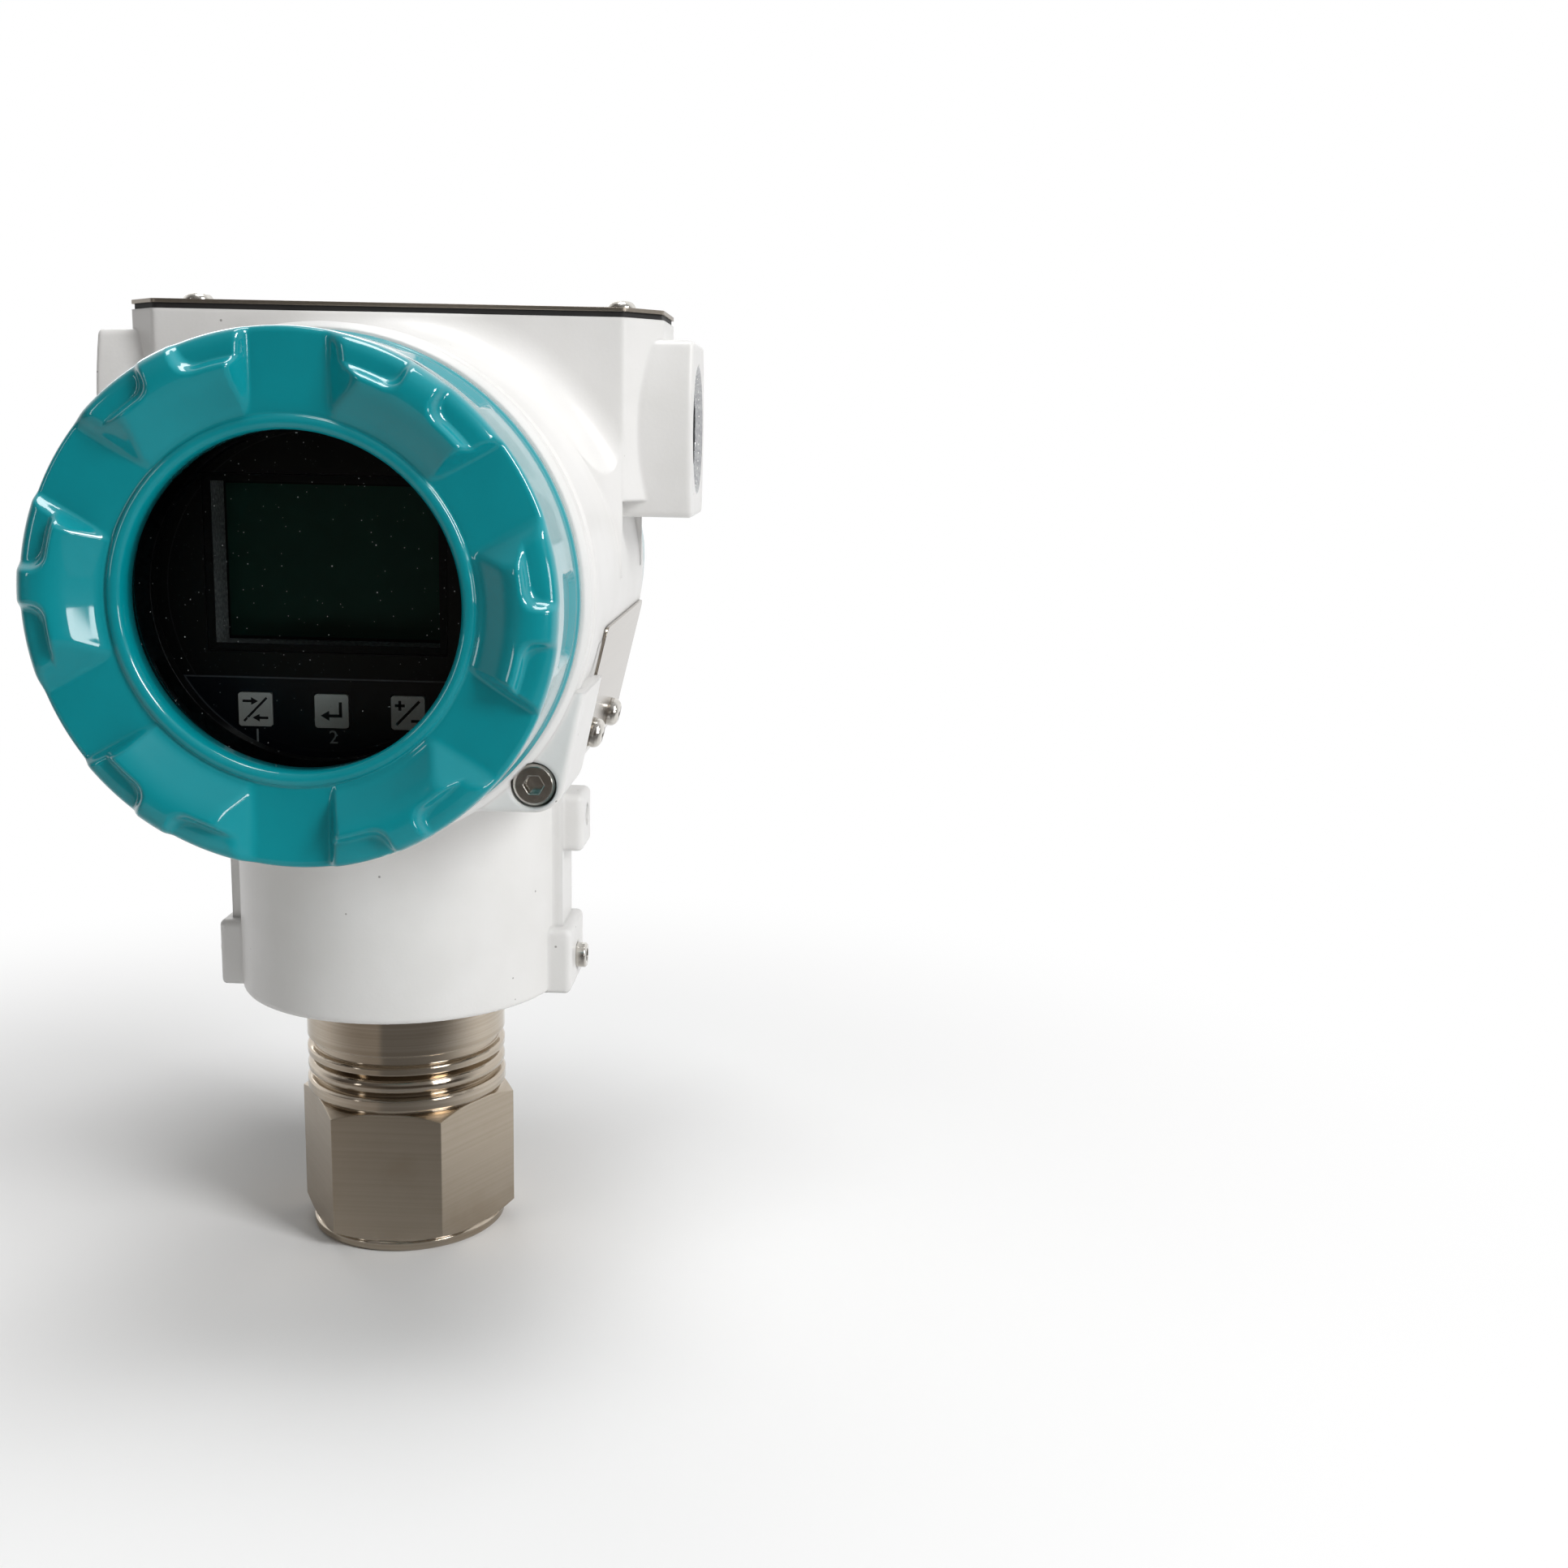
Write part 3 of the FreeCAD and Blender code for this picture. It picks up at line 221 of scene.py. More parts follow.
class Finish:
    """One material and its node tree, started from a Principled shader."""

    def __init__(self, name, **plain):
        self.material = bpy.data.materials.new(name)
        self.material.use_nodes = True
        self.tree = self.material.node_tree
        self.shader = self.tree.nodes["Principled BSDF"]
        self.output = self.tree.nodes["Material Output"]
        for socket, value in plain.items():
            self.set(socket.replace("_", " ").title().replace("Ior", "IOR"), value)

    def set(self, socket, value):
        """Gives a socket of the Principled shader a plain value or a link."""
        self.feed(self.shader.inputs[socket], value)

    def feed(self, target, value):
        """Links a field to a socket, or writes a number, colour or vector on it."""
        if isinstance(value, Field):
            self.tree.links.new(value.socket, target)
        elif isinstance(value, (tuple, list)) and len(value) == 3 and target.type == "RGBA":
            target.default_value = (*value, 1.0)
        else:
            target.default_value = value

    def node(self, kind, settings=None, inputs=None):
        """Adds a node, sets it up, feeds its sockets, and returns its outputs as fields."""
        made = self.tree.nodes.new(kind)
        for key, value in (settings or {}).items():
            setattr(made, key, value)
        for key, value in (inputs or {}).items():
            self.feed(made.inputs[key], value)
        return [Field(self, socket) for socket in made.outputs if socket.enabled]

    def rays(self):
        """1 on rays straight from the camera, off a glossy surface, and through a clear one."""
        path = self.tree.nodes.new("ShaderNodeLightPath")
        kinds = ("Camera", "Glossy", "Transmission")
        return [Field(self, path.outputs[f"Is {kind} Ray"]) for kind in kinds]

    def place(self):
        """The point on the piece, in metres of the object's own frame."""
        return Field(self, self.tree.nodes.new("ShaderNodeTexCoord").outputs["Object"])

    def split(self, vector):
        """The three numbers of a vector."""
        return self.node("ShaderNodeSeparateXYZ", None, {0: vector})

    def scaled(self, vector, factors):
        """The vector with each of its parts times its own factor."""
        inputs = {"Vector": vector, "Scale": factors}
        return self.node("ShaderNodeMapping", {"vector_type": "POINT"}, inputs)[0]

    def noise(self, vector, scale, detail=2.0):
        """Soft noise between 0 and 1; scale is cells per metre."""
        inputs = {"Vector": vector, "Scale": scale, "Detail": detail}
        return self.node("ShaderNodeTexNoise", {"noise_dimensions": "3D"}, inputs)[0]

    def cells(self, vector, scale):
        """Distance to the nearest of scattered points, and a random number per point."""
        made = self.node("ShaderNodeTexVoronoi", {"feature": "F1"}, {"Vector": vector, "Scale": scale})
        chance = self.node("ShaderNodeSeparateColor", None, {0: made[1]})[0]
        return made[0], chance

    def specks(self, vector, scale, size, share):
        """1 inside scattered round specks: size in cell widths, share of the cells that hold one."""
        distance, chance = self.cells(vector, scale)
        return distance.step(size, size * 0.6) * chance.step(share, share * 0.98)

    def mix(self, factor, a, b):
        """Colour a where factor is 0 and colour b where it is 1."""
        made = self.tree.nodes.new("ShaderNodeMix")
        made.data_type = "RGBA"
        for socket, value in zip((made.inputs[0], made.inputs[6], made.inputs[7]), (factor, a, b)):
            self.feed(socket, value)
        return Field(self, made.outputs[2])

    def bump(self, height, strength, distance, normal=None):
        """Normals tilted as if the surface stood height times distance (in metres) higher."""
        inputs = {"Height": height, "Strength": strength, "Distance": distance}
        if normal is not None:
            inputs["Normal"] = normal
        return self.node("ShaderNodeBump", None, inputs)[0]

    def soft_edges(self, radius):
        """Normals rounded over edges, for castings whose edges are dressed."""
        return self.node("ShaderNodeBevel", {"samples": 6}, {"Radius": radius})[0]


def length_of(a, b):
    """Distance of a point from an axis, from its two coordinates across it."""
    return (a * a + b * b) ** 0.5


# %% [markdown]
# The floor is a large pale plane that keeps the shadow under the object and
# fades to plain white away from it. The white comes from a glow and not from
# more lamps. Only the camera, mirrors and glass see it, so it puts no extra
# light on the object. In a mirror, the floor in front of the object is dark
# instead, as in a real room: a white one would lay a veil over the finishes.

# %% Floor and surroundings
FLOOR_HALF = 450            # half the floor's width, in mm
FADE = (0.07, 0.26)         # metres from the middle where the fade to white starts and ends
FRONT = (0.05, -0.12)       # the y, in metres, from which the floor is dark in mirrors
DARK_SHARE = 0.85

edge = np.array([-FLOOR_HALF, FLOOR_HALF], float)
corners = np.dstack([*np.meshgrid(edge, edge), np.zeros((2, 2))])
floor = surface("floor", corners, close_columns=False, turn_over=True)
ground = Finish("floor_paper", base_color=(0.86, 0.86, 0.86), roughness=0.9)
x, y, z = ground.split(ground.place())
seen, mirrored, through = ground.rays()
looked_at = seen.most(mirrored).most(through)
glow = ground.node("ShaderNodeEmission", None, {"Color": WHITE, "Strength": 1.0})
in_front = y.step(*FRONT)
away = length_of(x, y).step(*FADE) * looked_at
paper = Field(ground, ground.shader.outputs[0])
blend = ground.node("ShaderNodeMixShader", None, {0: away, 1: paper, 2: glow[0]})
shade = ground.mix((x - 0.2 * y).step(-0.02, 0.0), (0.20, 0.17, 0.14), (0.035, 0.028, 0.022))
gloom = ground.node("ShaderNodeEmission", None, {"Color": shade, "Strength": 1.0})
darkened = in_front * mirrored * DARK_SHARE
blend = ground.node("ShaderNodeMixShader", None, {0: darkened, 1: blend[0], 2: gloom[0]})
ground.feed(ground.output.inputs["Surface"], blend[0])
floor.data.materials.append(ground.material)


# %% [markdown]
# Polished metal and glass show the room around them more than themselves.
# A room that is white all over makes them look like paper. So the studio is
# white where the camera looks, and in mirrors that look the same way. The
# rest is a soft grey above and on the right, and a warm dark below and behind.

# %% Room
world = bpy.data.worlds.new("studio")
world.use_nodes = True
bpy.context.scene.world = world


class Room(Finish):
    """The same node helper, working on the tree of the world."""

    def __init__(self, shown):
        self.material = shown
        self.tree = shown.node_tree
        self.shader = self.tree.nodes["Background"]


room = Room(world)
direction = Field(room, room.tree.nodes.new("ShaderNodeTexCoord").outputs["Generated"])
x, y, z = room.split(direction)
seen, mirrored, through = room.rays()
ahead = y.step(-0.35, 0.45)
above = z.step(0.0, 0.8) * (0.35 + 0.65 * x.step(-0.7, 0.5))
wall = room.mix(above.most(ahead * x.step(-0.6, 0.6)), (0.055, 0.042, 0.032), (0.30, 0.30, 0.30))
backdrop = seen.most(mirrored.most(through) * ahead)
room.set("Color", room.mix(backdrop, wall, WHITE))
room.set("Strength", 1.0)

# %% [markdown]
# Large soft lamps stand where windows would be. The main window is high on
# the right, in front. Two small panes below it draw short bright marks on
# the covers. A broad ceiling lamp fills the top, a weak tall one stands on
# the left, and one lights the back. Their powers add up to a plain level, at
# which a surface renders about as bright as its written colour.


# %% Lamps
def lamp(name, place_mm, aim_mm, width_mm, height_mm, watts):
    """Rectangular lamp at a place, turned so that it shines at the point it aims at."""
    light = bpy.data.lights.new(name, "AREA")
    light.shape = "RECTANGLE"
    light.size = width_mm * MM
    light.size_y = height_mm * MM
    light.energy = watts
    holder = bpy.data.objects.new(name, light)
    holder.location = Vector(place_mm) * MM
    aim = Vector(aim_mm) * MM - holder.location
    holder.rotation_euler = aim.to_track_quat("-Z", "Y").to_euler()
    bpy.context.scene.collection.objects.link(holder)


MIDDLE = (0, 0, 110)
lamp("window_right", (720, -500, 600), MIDDLE, 280, 400, 5.9)
lamp("low_pane_near", (650, -650, 150), MIDDLE, 95, 150, 0.4)
lamp("low_pane_far", (735, -555, 150), MIDDLE, 95, 150, 0.4)
lamp("ceiling", (60, -60, 1050), MIDDLE, 480, 360, 4.8)
lamp("window_left", (-760, -760, 300), MIDDLE, 100, 420, 0.5)
lamp("behind", (-450, 900, 700), MIDDLE, 700, 500, 2.6)

# %% [markdown]
# The housing is an aluminium casting with a pale, half-glossy paint. Such
# paint shows the fine waviness of a sprayed coat, a few dust specks, and
# edges that look soft because the casting is tumbled before it is painted.
# The bores stay bare metal, so the finish asks where a point lies.

# %% Housing paint
BARREL_BORE = (0.0388, 0.0386)      # radius where paint ends and metal starts, in metres
BARREL_ENDS = (0.0402, 0.0400)      # the same for half the length of the bores
BARREL_MIDDLE = -0.005
NECK_BORE = (0.0278, 0.0276)
NECK_CEILING = (0.0795, 0.0790)
BARE_METAL = (0.60, 0.60, 0.61)

paint = Finish("housing_paint", metallic=0.0, coat_weight=0.25, coat_roughness=0.22, ior=1.5)
at = paint.place()
x, y, z = paint.split(at)
cloud = paint.noise(at, 60.0, 3.0)
grain = paint.noise(at, 1500.0, 2.0)
speck = paint.specks(at, 330.0, 0.09, 0.14)
in_barrel = length_of(x, z - AXIS_Z * MM).step(*BARREL_BORE) * abs(y - BARREL_MIDDLE).step(*BARREL_ENDS)
in_neck = length_of(x, y).step(*NECK_BORE) * z.step(*NECK_CEILING)
bare = in_barrel.most(in_neck)
tone = paint.mix(cloud.step(0.3, 0.7), (0.735, 0.73, 0.715), (0.775, 0.77, 0.76))
tone = paint.mix(speck * 0.65, tone, (0.12, 0.11, 0.10))
paint.set("Base Color", paint.mix(bare, tone, BARE_METAL))
paint.set("Metallic", bare)
paint.set("Roughness", 0.40 + 0.08 * cloud - 0.06 * bare)
relief = grain + 0.7 * paint.noise(at, 420.0, 1.0)
paint.set("Normal", paint.bump(relief, 0.16, 0.00012, paint.soft_edges(0.0011)))

# %% [markdown]
# The covers carry a thick glossy coat in blue-green. It flows a little in
# the corners, so its gloss is nearly perfect and its surface only slightly
# wavy. A clear coat over a rougher colour gives that deep look.

# %% Cover paint
enamel = Finish("cover_paint", metallic=0.0, coat_weight=1.0, coat_roughness=0.05, ior=1.5)
enamel.set("Specular IOR Level", 0.15)
enamel.set("Coat IOR", 1.6)
at = enamel.place()
cloud = enamel.noise(at, 45.0, 2.0)
wave = enamel.noise(at, 260.0, 1.0)
tone = enamel.mix(cloud.step(0.25, 0.75), (0.0, 0.252, 0.295), (0.001, 0.288, 0.335))
relief = wave + 0.15 * enamel.noise(at, 1400.0, 1.0)
enamel.set("Base Color", tone)
enamel.set("Roughness", 0.30 + 0.10 * cloud)
enamel.set("Normal", enamel.bump(relief, 0.22, 0.00018))

# %% [markdown]
# The pressure connection is turned from stainless steel, and its hexagon is
# milled. A lathe leaves fine rings, so the bump changes quickly along the
# axis and slowly around it; the flats get streaks across the axis instead.

# %% Stainless steel
HEX_BOTTOM = (0.0022, 0.0026)       # the milled flats' lower and upper end, in metres
HEX_TOP = (0.0274, 0.0270)
HEX_RADIUS = (0.0178, 0.0180)

steel = Finish("turned_steel", metallic=1.0, ior=1.5)
at = steel.place()
x, y, z = steel.split(at)
radius = length_of(x, y)
rings = steel.noise(steel.scaled(at, (4.0, 4.0, 9000.0)), 1.0, 2.0)
broad = steel.noise(steel.scaled(at, (5.0, 5.0, 1300.0)), 1.0, 3.0)
streaks = steel.noise(steel.scaled(at, (700.0, 700.0, 3800.0)), 1.0, 3.0)
on_flats = z.step(*HEX_BOTTOM) * z.step(*HEX_TOP) * radius.step(*HEX_RADIUS)
lines = rings * (1.0 - on_flats) + streaks * on_flats
cloud = steel.noise(at, 90.0, 3.0)
banding = broad.step(0.3, 0.7) * (1.0 - on_flats * 0.6)
# The warm brown of these colours, and of the darker brown patches below, is a painted reflection of warm
# brown surroundings; bare stainless steel is greyer.
steel_and_brown_reflection = steel.mix(banding, (0.45, 0.385, 0.305), (0.55, 0.485, 0.405))
steel.set("Base Color", steel.mix(cloud.step(0.5, 0.8) * 0.5, steel_and_brown_reflection, (0.39, 0.315, 0.23)))
steel.set("Roughness", 0.08 + 0.05 * broad + 0.20 * on_flats)
steel.set("Normal", steel.bump(lines, 0.14, 0.00004, steel.soft_edges(0.0003)))

# %% [markdown]
# The name plates are thin stainless sheet, polished along their length and
# left blank; the sheet on top, above 160 mm, is duller. The screws are nickel
# plated, the ring behind the window is anodised, and the threads are freshly
# cut aluminium: four quick relatives of one bare metal, made by one function.


# %% Bare metals
TOP_SHEET = (0.160, 0.162)          # height, in metres, above which a plate is dull
EVEN = (900.0, 900.0, 900.0)        # noise cells per metre where there is no brushing


def bare_metal(name, dark, bright, gloss, stretch, strength, edge=0.0002):
    """Metal with brushing along one direction: stretch is the noise cells per metre along X, Y and Z."""
    metal = Finish(name, metallic=1.0, ior=1.5)
    at = metal.place()
    brush = metal.noise(metal.scaled(at, stretch), 1.0, 3.0)
    stain = metal.noise(at, 140.0, 3.0)
    metal.set("Base Color", metal.mix(brush.step(0.3, 0.7) * 0.6 + stain * 0.4, dark, bright))
    metal.set("Roughness", gloss + 0.10 * stain)
    metal.set("Normal", metal.bump(brush, strength, 0.00005, metal.soft_edges(edge)))
    return metal


# The plates' dark warm brown is a painted reflection of warm brown surroundings, not the grey of the
# stainless sheet itself.
plate = bare_metal("plate_steel", (0.325, 0.288, 0.243), (0.365, 0.326, 0.278), 0.12,
                   (1500.0, 25.0, 1500.0), 0.04)
height = plate.split(plate.place())[2]
plate.set("Roughness", 0.17 + 0.23 * height.step(*TOP_SHEET))
nickel = bare_metal("nickel_plate", (0.62, 0.59, 0.54), (0.78, 0.76, 0.72), 0.14,
                    (700.0, 700.0, 700.0), 0.10, 0.0003)
anodised = bare_metal("dark_anodised", (0.05, 0.05, 0.055), (0.09, 0.09, 0.10), 0.35, EVEN, 0.10)
cut_metal = bare_metal("cut_aluminium", (0.62, 0.63, 0.65), (0.86, 0.87, 0.88), 0.16, EVEN, 0.12)

# %% [markdown]
# Rubber, moulded plastic and the circuit board are dull surfaces that differ
# in colour, gloss and grain. They too share one function.


# %% Dull surfaces
def moulded(name, deep, light, rough, grain_size, strength):
    """Plastic or rubber: two close colours, a roughness, and a grain whose size is in metres."""
    made = Finish(name, metallic=0.0, ior=1.45)
    at = made.place()
    cloud = made.noise(at, 120.0, 2.0)
    grain = made.noise(at, 1.0 / grain_size, 2.0)
    made.set("Base Color", made.mix(cloud, deep, light))
    made.set("Roughness", rough + 0.12 * cloud)
    made.set("Normal", made.bump(grain, strength, grain_size * 0.25))
    return made


rubber = moulded("black_rubber", (0.012, 0.012, 0.012), (0.022, 0.022, 0.021), 0.52, 0.0004, 0.25)
gasket = moulded("gasket_sheet", (0.014, 0.014, 0.015), (0.028, 0.027, 0.026), 0.62, 0.0003, 0.30)
key_cap = moulded("key_rubber", (0.84, 0.85, 0.84), (0.90, 0.91, 0.90), 0.42, 0.0004, 0.18)
inner = moulded("black_nylon", (0.016, 0.016, 0.017), (0.030, 0.030, 0.031), 0.45, 0.0005, 0.20)
terminal = moulded("terminal_plastic", (0.030, 0.030, 0.032), (0.050, 0.050, 0.052), 0.40, 0.0005, 0.20)
board = moulded("circuit_board", (0.004, 0.050, 0.020), (0.010, 0.110, 0.045), 0.30, 0.0012, 0.30)

# %% [markdown]
# The display face is a black moulding with a fine sparkle. A printed film
# covers its lower part, from just under the screen to the rim, with a thin
# paler border. The film is drawn by a distance formula in the finish: the
# distance to its outline is the largest of the distances to its sides.

# %% Display face
FILM_LEFT = -0.0255         # the printed film's left side, top and outer radius, in metres
FILM_TOP = 0.1139
FILM_R = 0.0276
GROOVE_RADII = (0.0297, 0.0256)
BLACK = (0.0030, 0.0036, 0.0046)

face = Finish("display_face", metallic=0.0, ior=1.5)
at = face.place()
x, y, z = face.split(at)
from_axis = length_of(x, z - AXIS_Z * MM)
film_edge = (FILM_LEFT - x).most(z - FILM_TOP).most(from_axis - FILM_R)
film = film_edge.step(0.0, -0.00008)
border = abs(film_edge + 0.0003).step(0.00016, 0.00008)
outer_groove = abs(from_axis - GROOVE_RADII[0]).step(0.00022, 0.0001)
inner_groove = abs(from_axis - GROOVE_RADII[1]).step(0.00012, 0.00006) * 0.4
groove_and_highlight = outer_groove.most(inner_groove)
sparkle = face.specks(at, 2600.0, 0.30, 0.10)
tone = face.mix(sparkle * (1.0 - film * 0.6), BLACK, (0.045, 0.052, 0.060))
tone = face.mix(film, tone, (0.0075, 0.0100, 0.0165))
# The two grooves are also drawn as thin pale lines in the colour: a painted highlight along them. In the
# bump they stay real grooves.
lines = (border * 0.9).most(groove_and_highlight * 0.4 * (1.0 - film))
tone = face.mix(lines, tone, (0.14, 0.15, 0.17))
face.set("Base Color", tone)
face.set("Roughness", 0.48 - 0.22 * film + 0.08 * face.noise(at, 200.0))
relief = face.noise(at, 2200.0, 2.0) * (1.0 - film) * 0.5 + film * 1.5 - groove_and_highlight
face.set("Normal", face.bump(relief, 0.35, 0.00008))

# %% [markdown]
# The collar inside the window is black plastic with a fine grain, like the
# face in front of it. Its walls are painted pale grey: a painted highlight,
# as they face the light, while its front rim keeps the black. The screen
# behind it is a liquid crystal panel that is switched off: dark grey-green
# with a black border.

# %% Screen collar and screen
COLLAR_RIM = (-0.0467, -0.0469)     # the y, in metres, where the collar turns black
SCREEN_FRONT = (-0.0405, -0.0406)
SCREEN_Z = 0.1320
VIEW_HALF_WIDTH = (0.01790, 0.01780)
VIEW_HALF_HEIGHT = (0.01245, 0.01235)

collar = Finish("screen_collar", metallic=0.0, ior=1.45)
at = collar.place()
x, y, z = collar.split(at)
rim = y.step(*COLLAR_RIM)
grain = collar.noise(at, 1700.0, 3.0)
# The pale grey is a painted highlight on the collar's walls; the rim's black is the collar's own colour.
tone = collar.mix(grain.step(0.35, 0.7), (0.16, 0.17, 0.18), (0.36, 0.38, 0.39))
collar.set("Base Color", collar.mix(rim, tone, BLACK))
collar.set("Roughness", 0.55 + 0.1 * grain)
collar.set("Normal", collar.bump(grain, 0.5, 0.0002))

screen = Finish("screen", metallic=0.0, coat_weight=0.15, coat_roughness=0.05, ior=1.5)
screen.set("Specular IOR Level", 0.2)
at = screen.place()
x, y, z = screen.split(at)
on_front = y.step(*SCREEN_FRONT)
view = abs(x).step(*VIEW_HALF_WIDTH) * abs(z - SCREEN_Z).step(*VIEW_HALF_HEIGHT) * on_front
across = screen.noise(screen.scaled(at, (2.0, 2.0, 2300.0)), 1.0)
upright = screen.noise(screen.scaled(at, (2300.0, 2.0, 2.0)), 1.0)
lines = across * 0.5 + upright * 0.5
cloud = screen.noise(at, 40.0, 1.0)
glass_tone = screen.mix(cloud, (0.0050, 0.0330, 0.0240), (0.0085, 0.0480, 0.0360))
screen.set("Base Color", screen.mix(view, (0.0015, 0.0018, 0.0022), glass_tone))
screen.set("Roughness", 0.30 + 0.12 * lines)
screen.set("Normal", screen.bump(lines, 0.08, 0.00005))

# %% [markdown]
# The window is a thick clear pane. It shows what lies behind it, adds its
# own reflection, and has settled dust. The dust is a scatter of small pale
# specks, and the pane is a mix of a see-through shader and a glossy one.

# %% Window glass
pane = Finish("window_glass", metallic=0.0, roughness=0.02, ior=1.5, base_color=(0.0, 0.0, 0.0))
at = pane.place()
fine_dust = pane.specks(at, 1000.0, 0.10, 0.30)
dust = fine_dust.most(pane.specks(at, 430.0, 0.06, 0.30))
grime = pane.noise(at, 35.0, 3.0).step(0.45, 0.9) * 0.012
clear = pane.node("ShaderNodeBsdfTransparent", None, {"Color": (0.97, 0.985, 0.98)})
shine = pane.node("ShaderNodeFresnel", None, {"IOR": 1.45})[0]
pane.set("Base Color", pane.mix(dust, (0.0, 0.0, 0.0), (0.72, 0.74, 0.75)))
amount = (shine * 0.8 + grime).most(dust * 0.6)
glossy = Field(pane, pane.shader.outputs[0])
blend = pane.node("ShaderNodeMixShader", None, {0: amount, 1: clear[0], 2: glossy})
pane.feed(pane.output.inputs["Surface"], blend[0])

# %% [markdown]
# A solid of the construction model whose shape is right keeps its mesh and
# only gets a finish. The record names the material slot of every solid, so
# one table from slot to finish dresses them all.

# %% Finishes for the solids
FINISHES = {
    "steel": steel, "seal_rubber": rubber, "housing_paint": paint, "cover_paint": enamel,
    "glass": pane, "bright_screw": nickel, "plate_steel": plate,
    "gasket_black": gasket, "bezel_plastic": face,
    "frame_plastic": collar, "screen": screen, "key_rubber": key_cap, "board": board,
    "inner_plastic": inner, "terminal_plastic": terminal, "anodised": anodised,
}
for part in frame["record"]["subparts"]:
    solid = frame["nodes"][part["node"]]
    solid.data.materials.clear()
    solid.data.materials.append(FINISHES[part["material_slot"]].material)

# %% [markdown]
# A screwed cover has six grip notches between raised lands. One wall of each
# notch is steep and the other gentle. A land climbs in a ramp to a crest,
# drops to a lower outer shelf, and keeps one tooth, a little off the middle.
# As a casting, every edge of it is soft. So the outside is worked out as a
# height over the radius and the angle, blended with the side wall. Where the
# blend of both reaches zero is the surface: rays from a point inside the
# wall find it by halving their interval again and again.

# %% Sizes of the covers, in mm
SIDE_R = 40.6
RIM_R = 41.0
FRONT_DEPTH = 19.4          # from the rim to the inner part of the face
REAR_DEPTH = 13.6
FRONT_RIM_Y = -46.7         # where the rims stand beside the housing
REAR_RIM_Y = 36.7
CREST_RISE = 4.6
CREST_R = 34.5
RAMP_R = 28.6               # where the ramps of the lands start
LAND_TURN = -1.2            # degrees from the x axis to the middle of the first land
NOTCH_HALF = 6.0
STEEP_WALL = 2.5            # rise over run
GENTLE_WALL = 0.78
FLOOR_RISE = 1.1
FLOOR_RUN = 15.4
TOOTH_MIDDLE = -1.2
TOOTH_HALF = 3.4
SHELF_R = 36.5
SHELF_WALL = 2.0
SHELF_DROP = 2.0
PANEL = dict(low=4.4, high=15.6, half=6.7, corner=1.6, deep=0.9)
SKIRT_R = 33.2
SKIRT_END = -10.0           # depths below the rim are negative
THREAD_ROOT_R = 36.2
THREAD_R = 36.95
THREAD_PITCH = 2.0
THREAD_HALF = 0.75          # half the height of the thread's wave
THREAD_SINK = 0.35          # how much the thread sinks where it runs out
THREAD_TOP = -2.9
GROOVE_R = 35.6
GROOVE_BOTTOM = -2.6
WINDOW_R = 25.7
GLASS_R = 28.8
GLASS_DOWN = 4.4            # from the face to the glass
GLASS_BORE_END = 16.4       # from the face to the end of the bore behind the glass
LIP_RISE = 0.6
LID_THICK = 4.0
RAY_R = 33.0                # the rays start inside the wall, this far below the face
RAY_DOWN = 9.0
RAY_REACH = 30.0
HALVINGS = 30


# %% Height and side of a cover
def folded(angle, shift):
    """Angle to the nearest of six directions, the first of them at shift degrees, in radians."""
    sector = math.radians(60)
    return (angle - math.radians(shift) + sector / 2) % sector - sector / 2


def cover_top(r, angle, depth):
    """Outer height: the lower of ramp, crest and shelf, then the lower of that and the notch."""
    across_land = r * np.sin(folded(angle, LAND_TURN))
    across_notch = r * np.sin(folded(angle, LAND_TURN + 30))
    ramp = depth + (r - RAMP_R) * CREST_RISE / (CREST_R - RAMP_R)
    land = smooth_min(ramp, depth + CREST_RISE + 0 * r, 1.7)
    shelf = depth + CREST_RISE - SHELF_DROP
    into_shelf = smooth_min(r - SHELF_R, np.abs(across_land - TOOTH_MIDDLE) - TOOTH_HALF, 2.6)
    land = smooth_min(land, smooth_max(shelf - SHELF_WALL * into_shelf, shelf + 0 * r, 0.9), 0.9)
    floor = depth + np.maximum(r - RAMP_R, 0) * FLOOR_RISE / FLOOR_RUN
    steep = floor + (across_notch - NOTCH_HALF) * STEEP_WALL
    gentle = floor - (across_notch + NOTCH_HALF) * GENTLE_WALL
    notch = smooth_max(smooth_max(floor, steep, 1.5), gentle, 0.6)
    rounding = 0.7 + 1.1 * ease(across_notch, 1.0, NOTCH_HALF)
    top = smooth_min(smooth_max(land, depth + 0 * r, 1.0), notch, rounding)
    return smooth_max(top, depth + 0 * r, 0.5), floor


def side_radius(t, angle, has_panels):
    """Radius of the side wall, with a shallow rounded panel set into it behind each tooth."""
    wall = SIDE_R + 0 * t
    if not has_panels:
        return wall
    middle = (PANEL["low"] + PANEL["high"]) / 2
    half_tall = (PANEL["high"] - PANEL["low"]) / 2 - PANEL["corner"]
    a = np.maximum(np.abs(t - middle) - half_tall, 0)
    from_tooth = np.abs(SIDE_R * np.sin(folded(angle, LAND_TURN)) - TOOTH_MIDDLE)
    b = np.maximum(from_tooth - PANEL["half"] + PANEL["corner"], 0)
    inside = PANEL["corner"] - np.hypot(a, b)
    return wall - PANEL["deep"] * ease(inside, -0.35, 0.65)


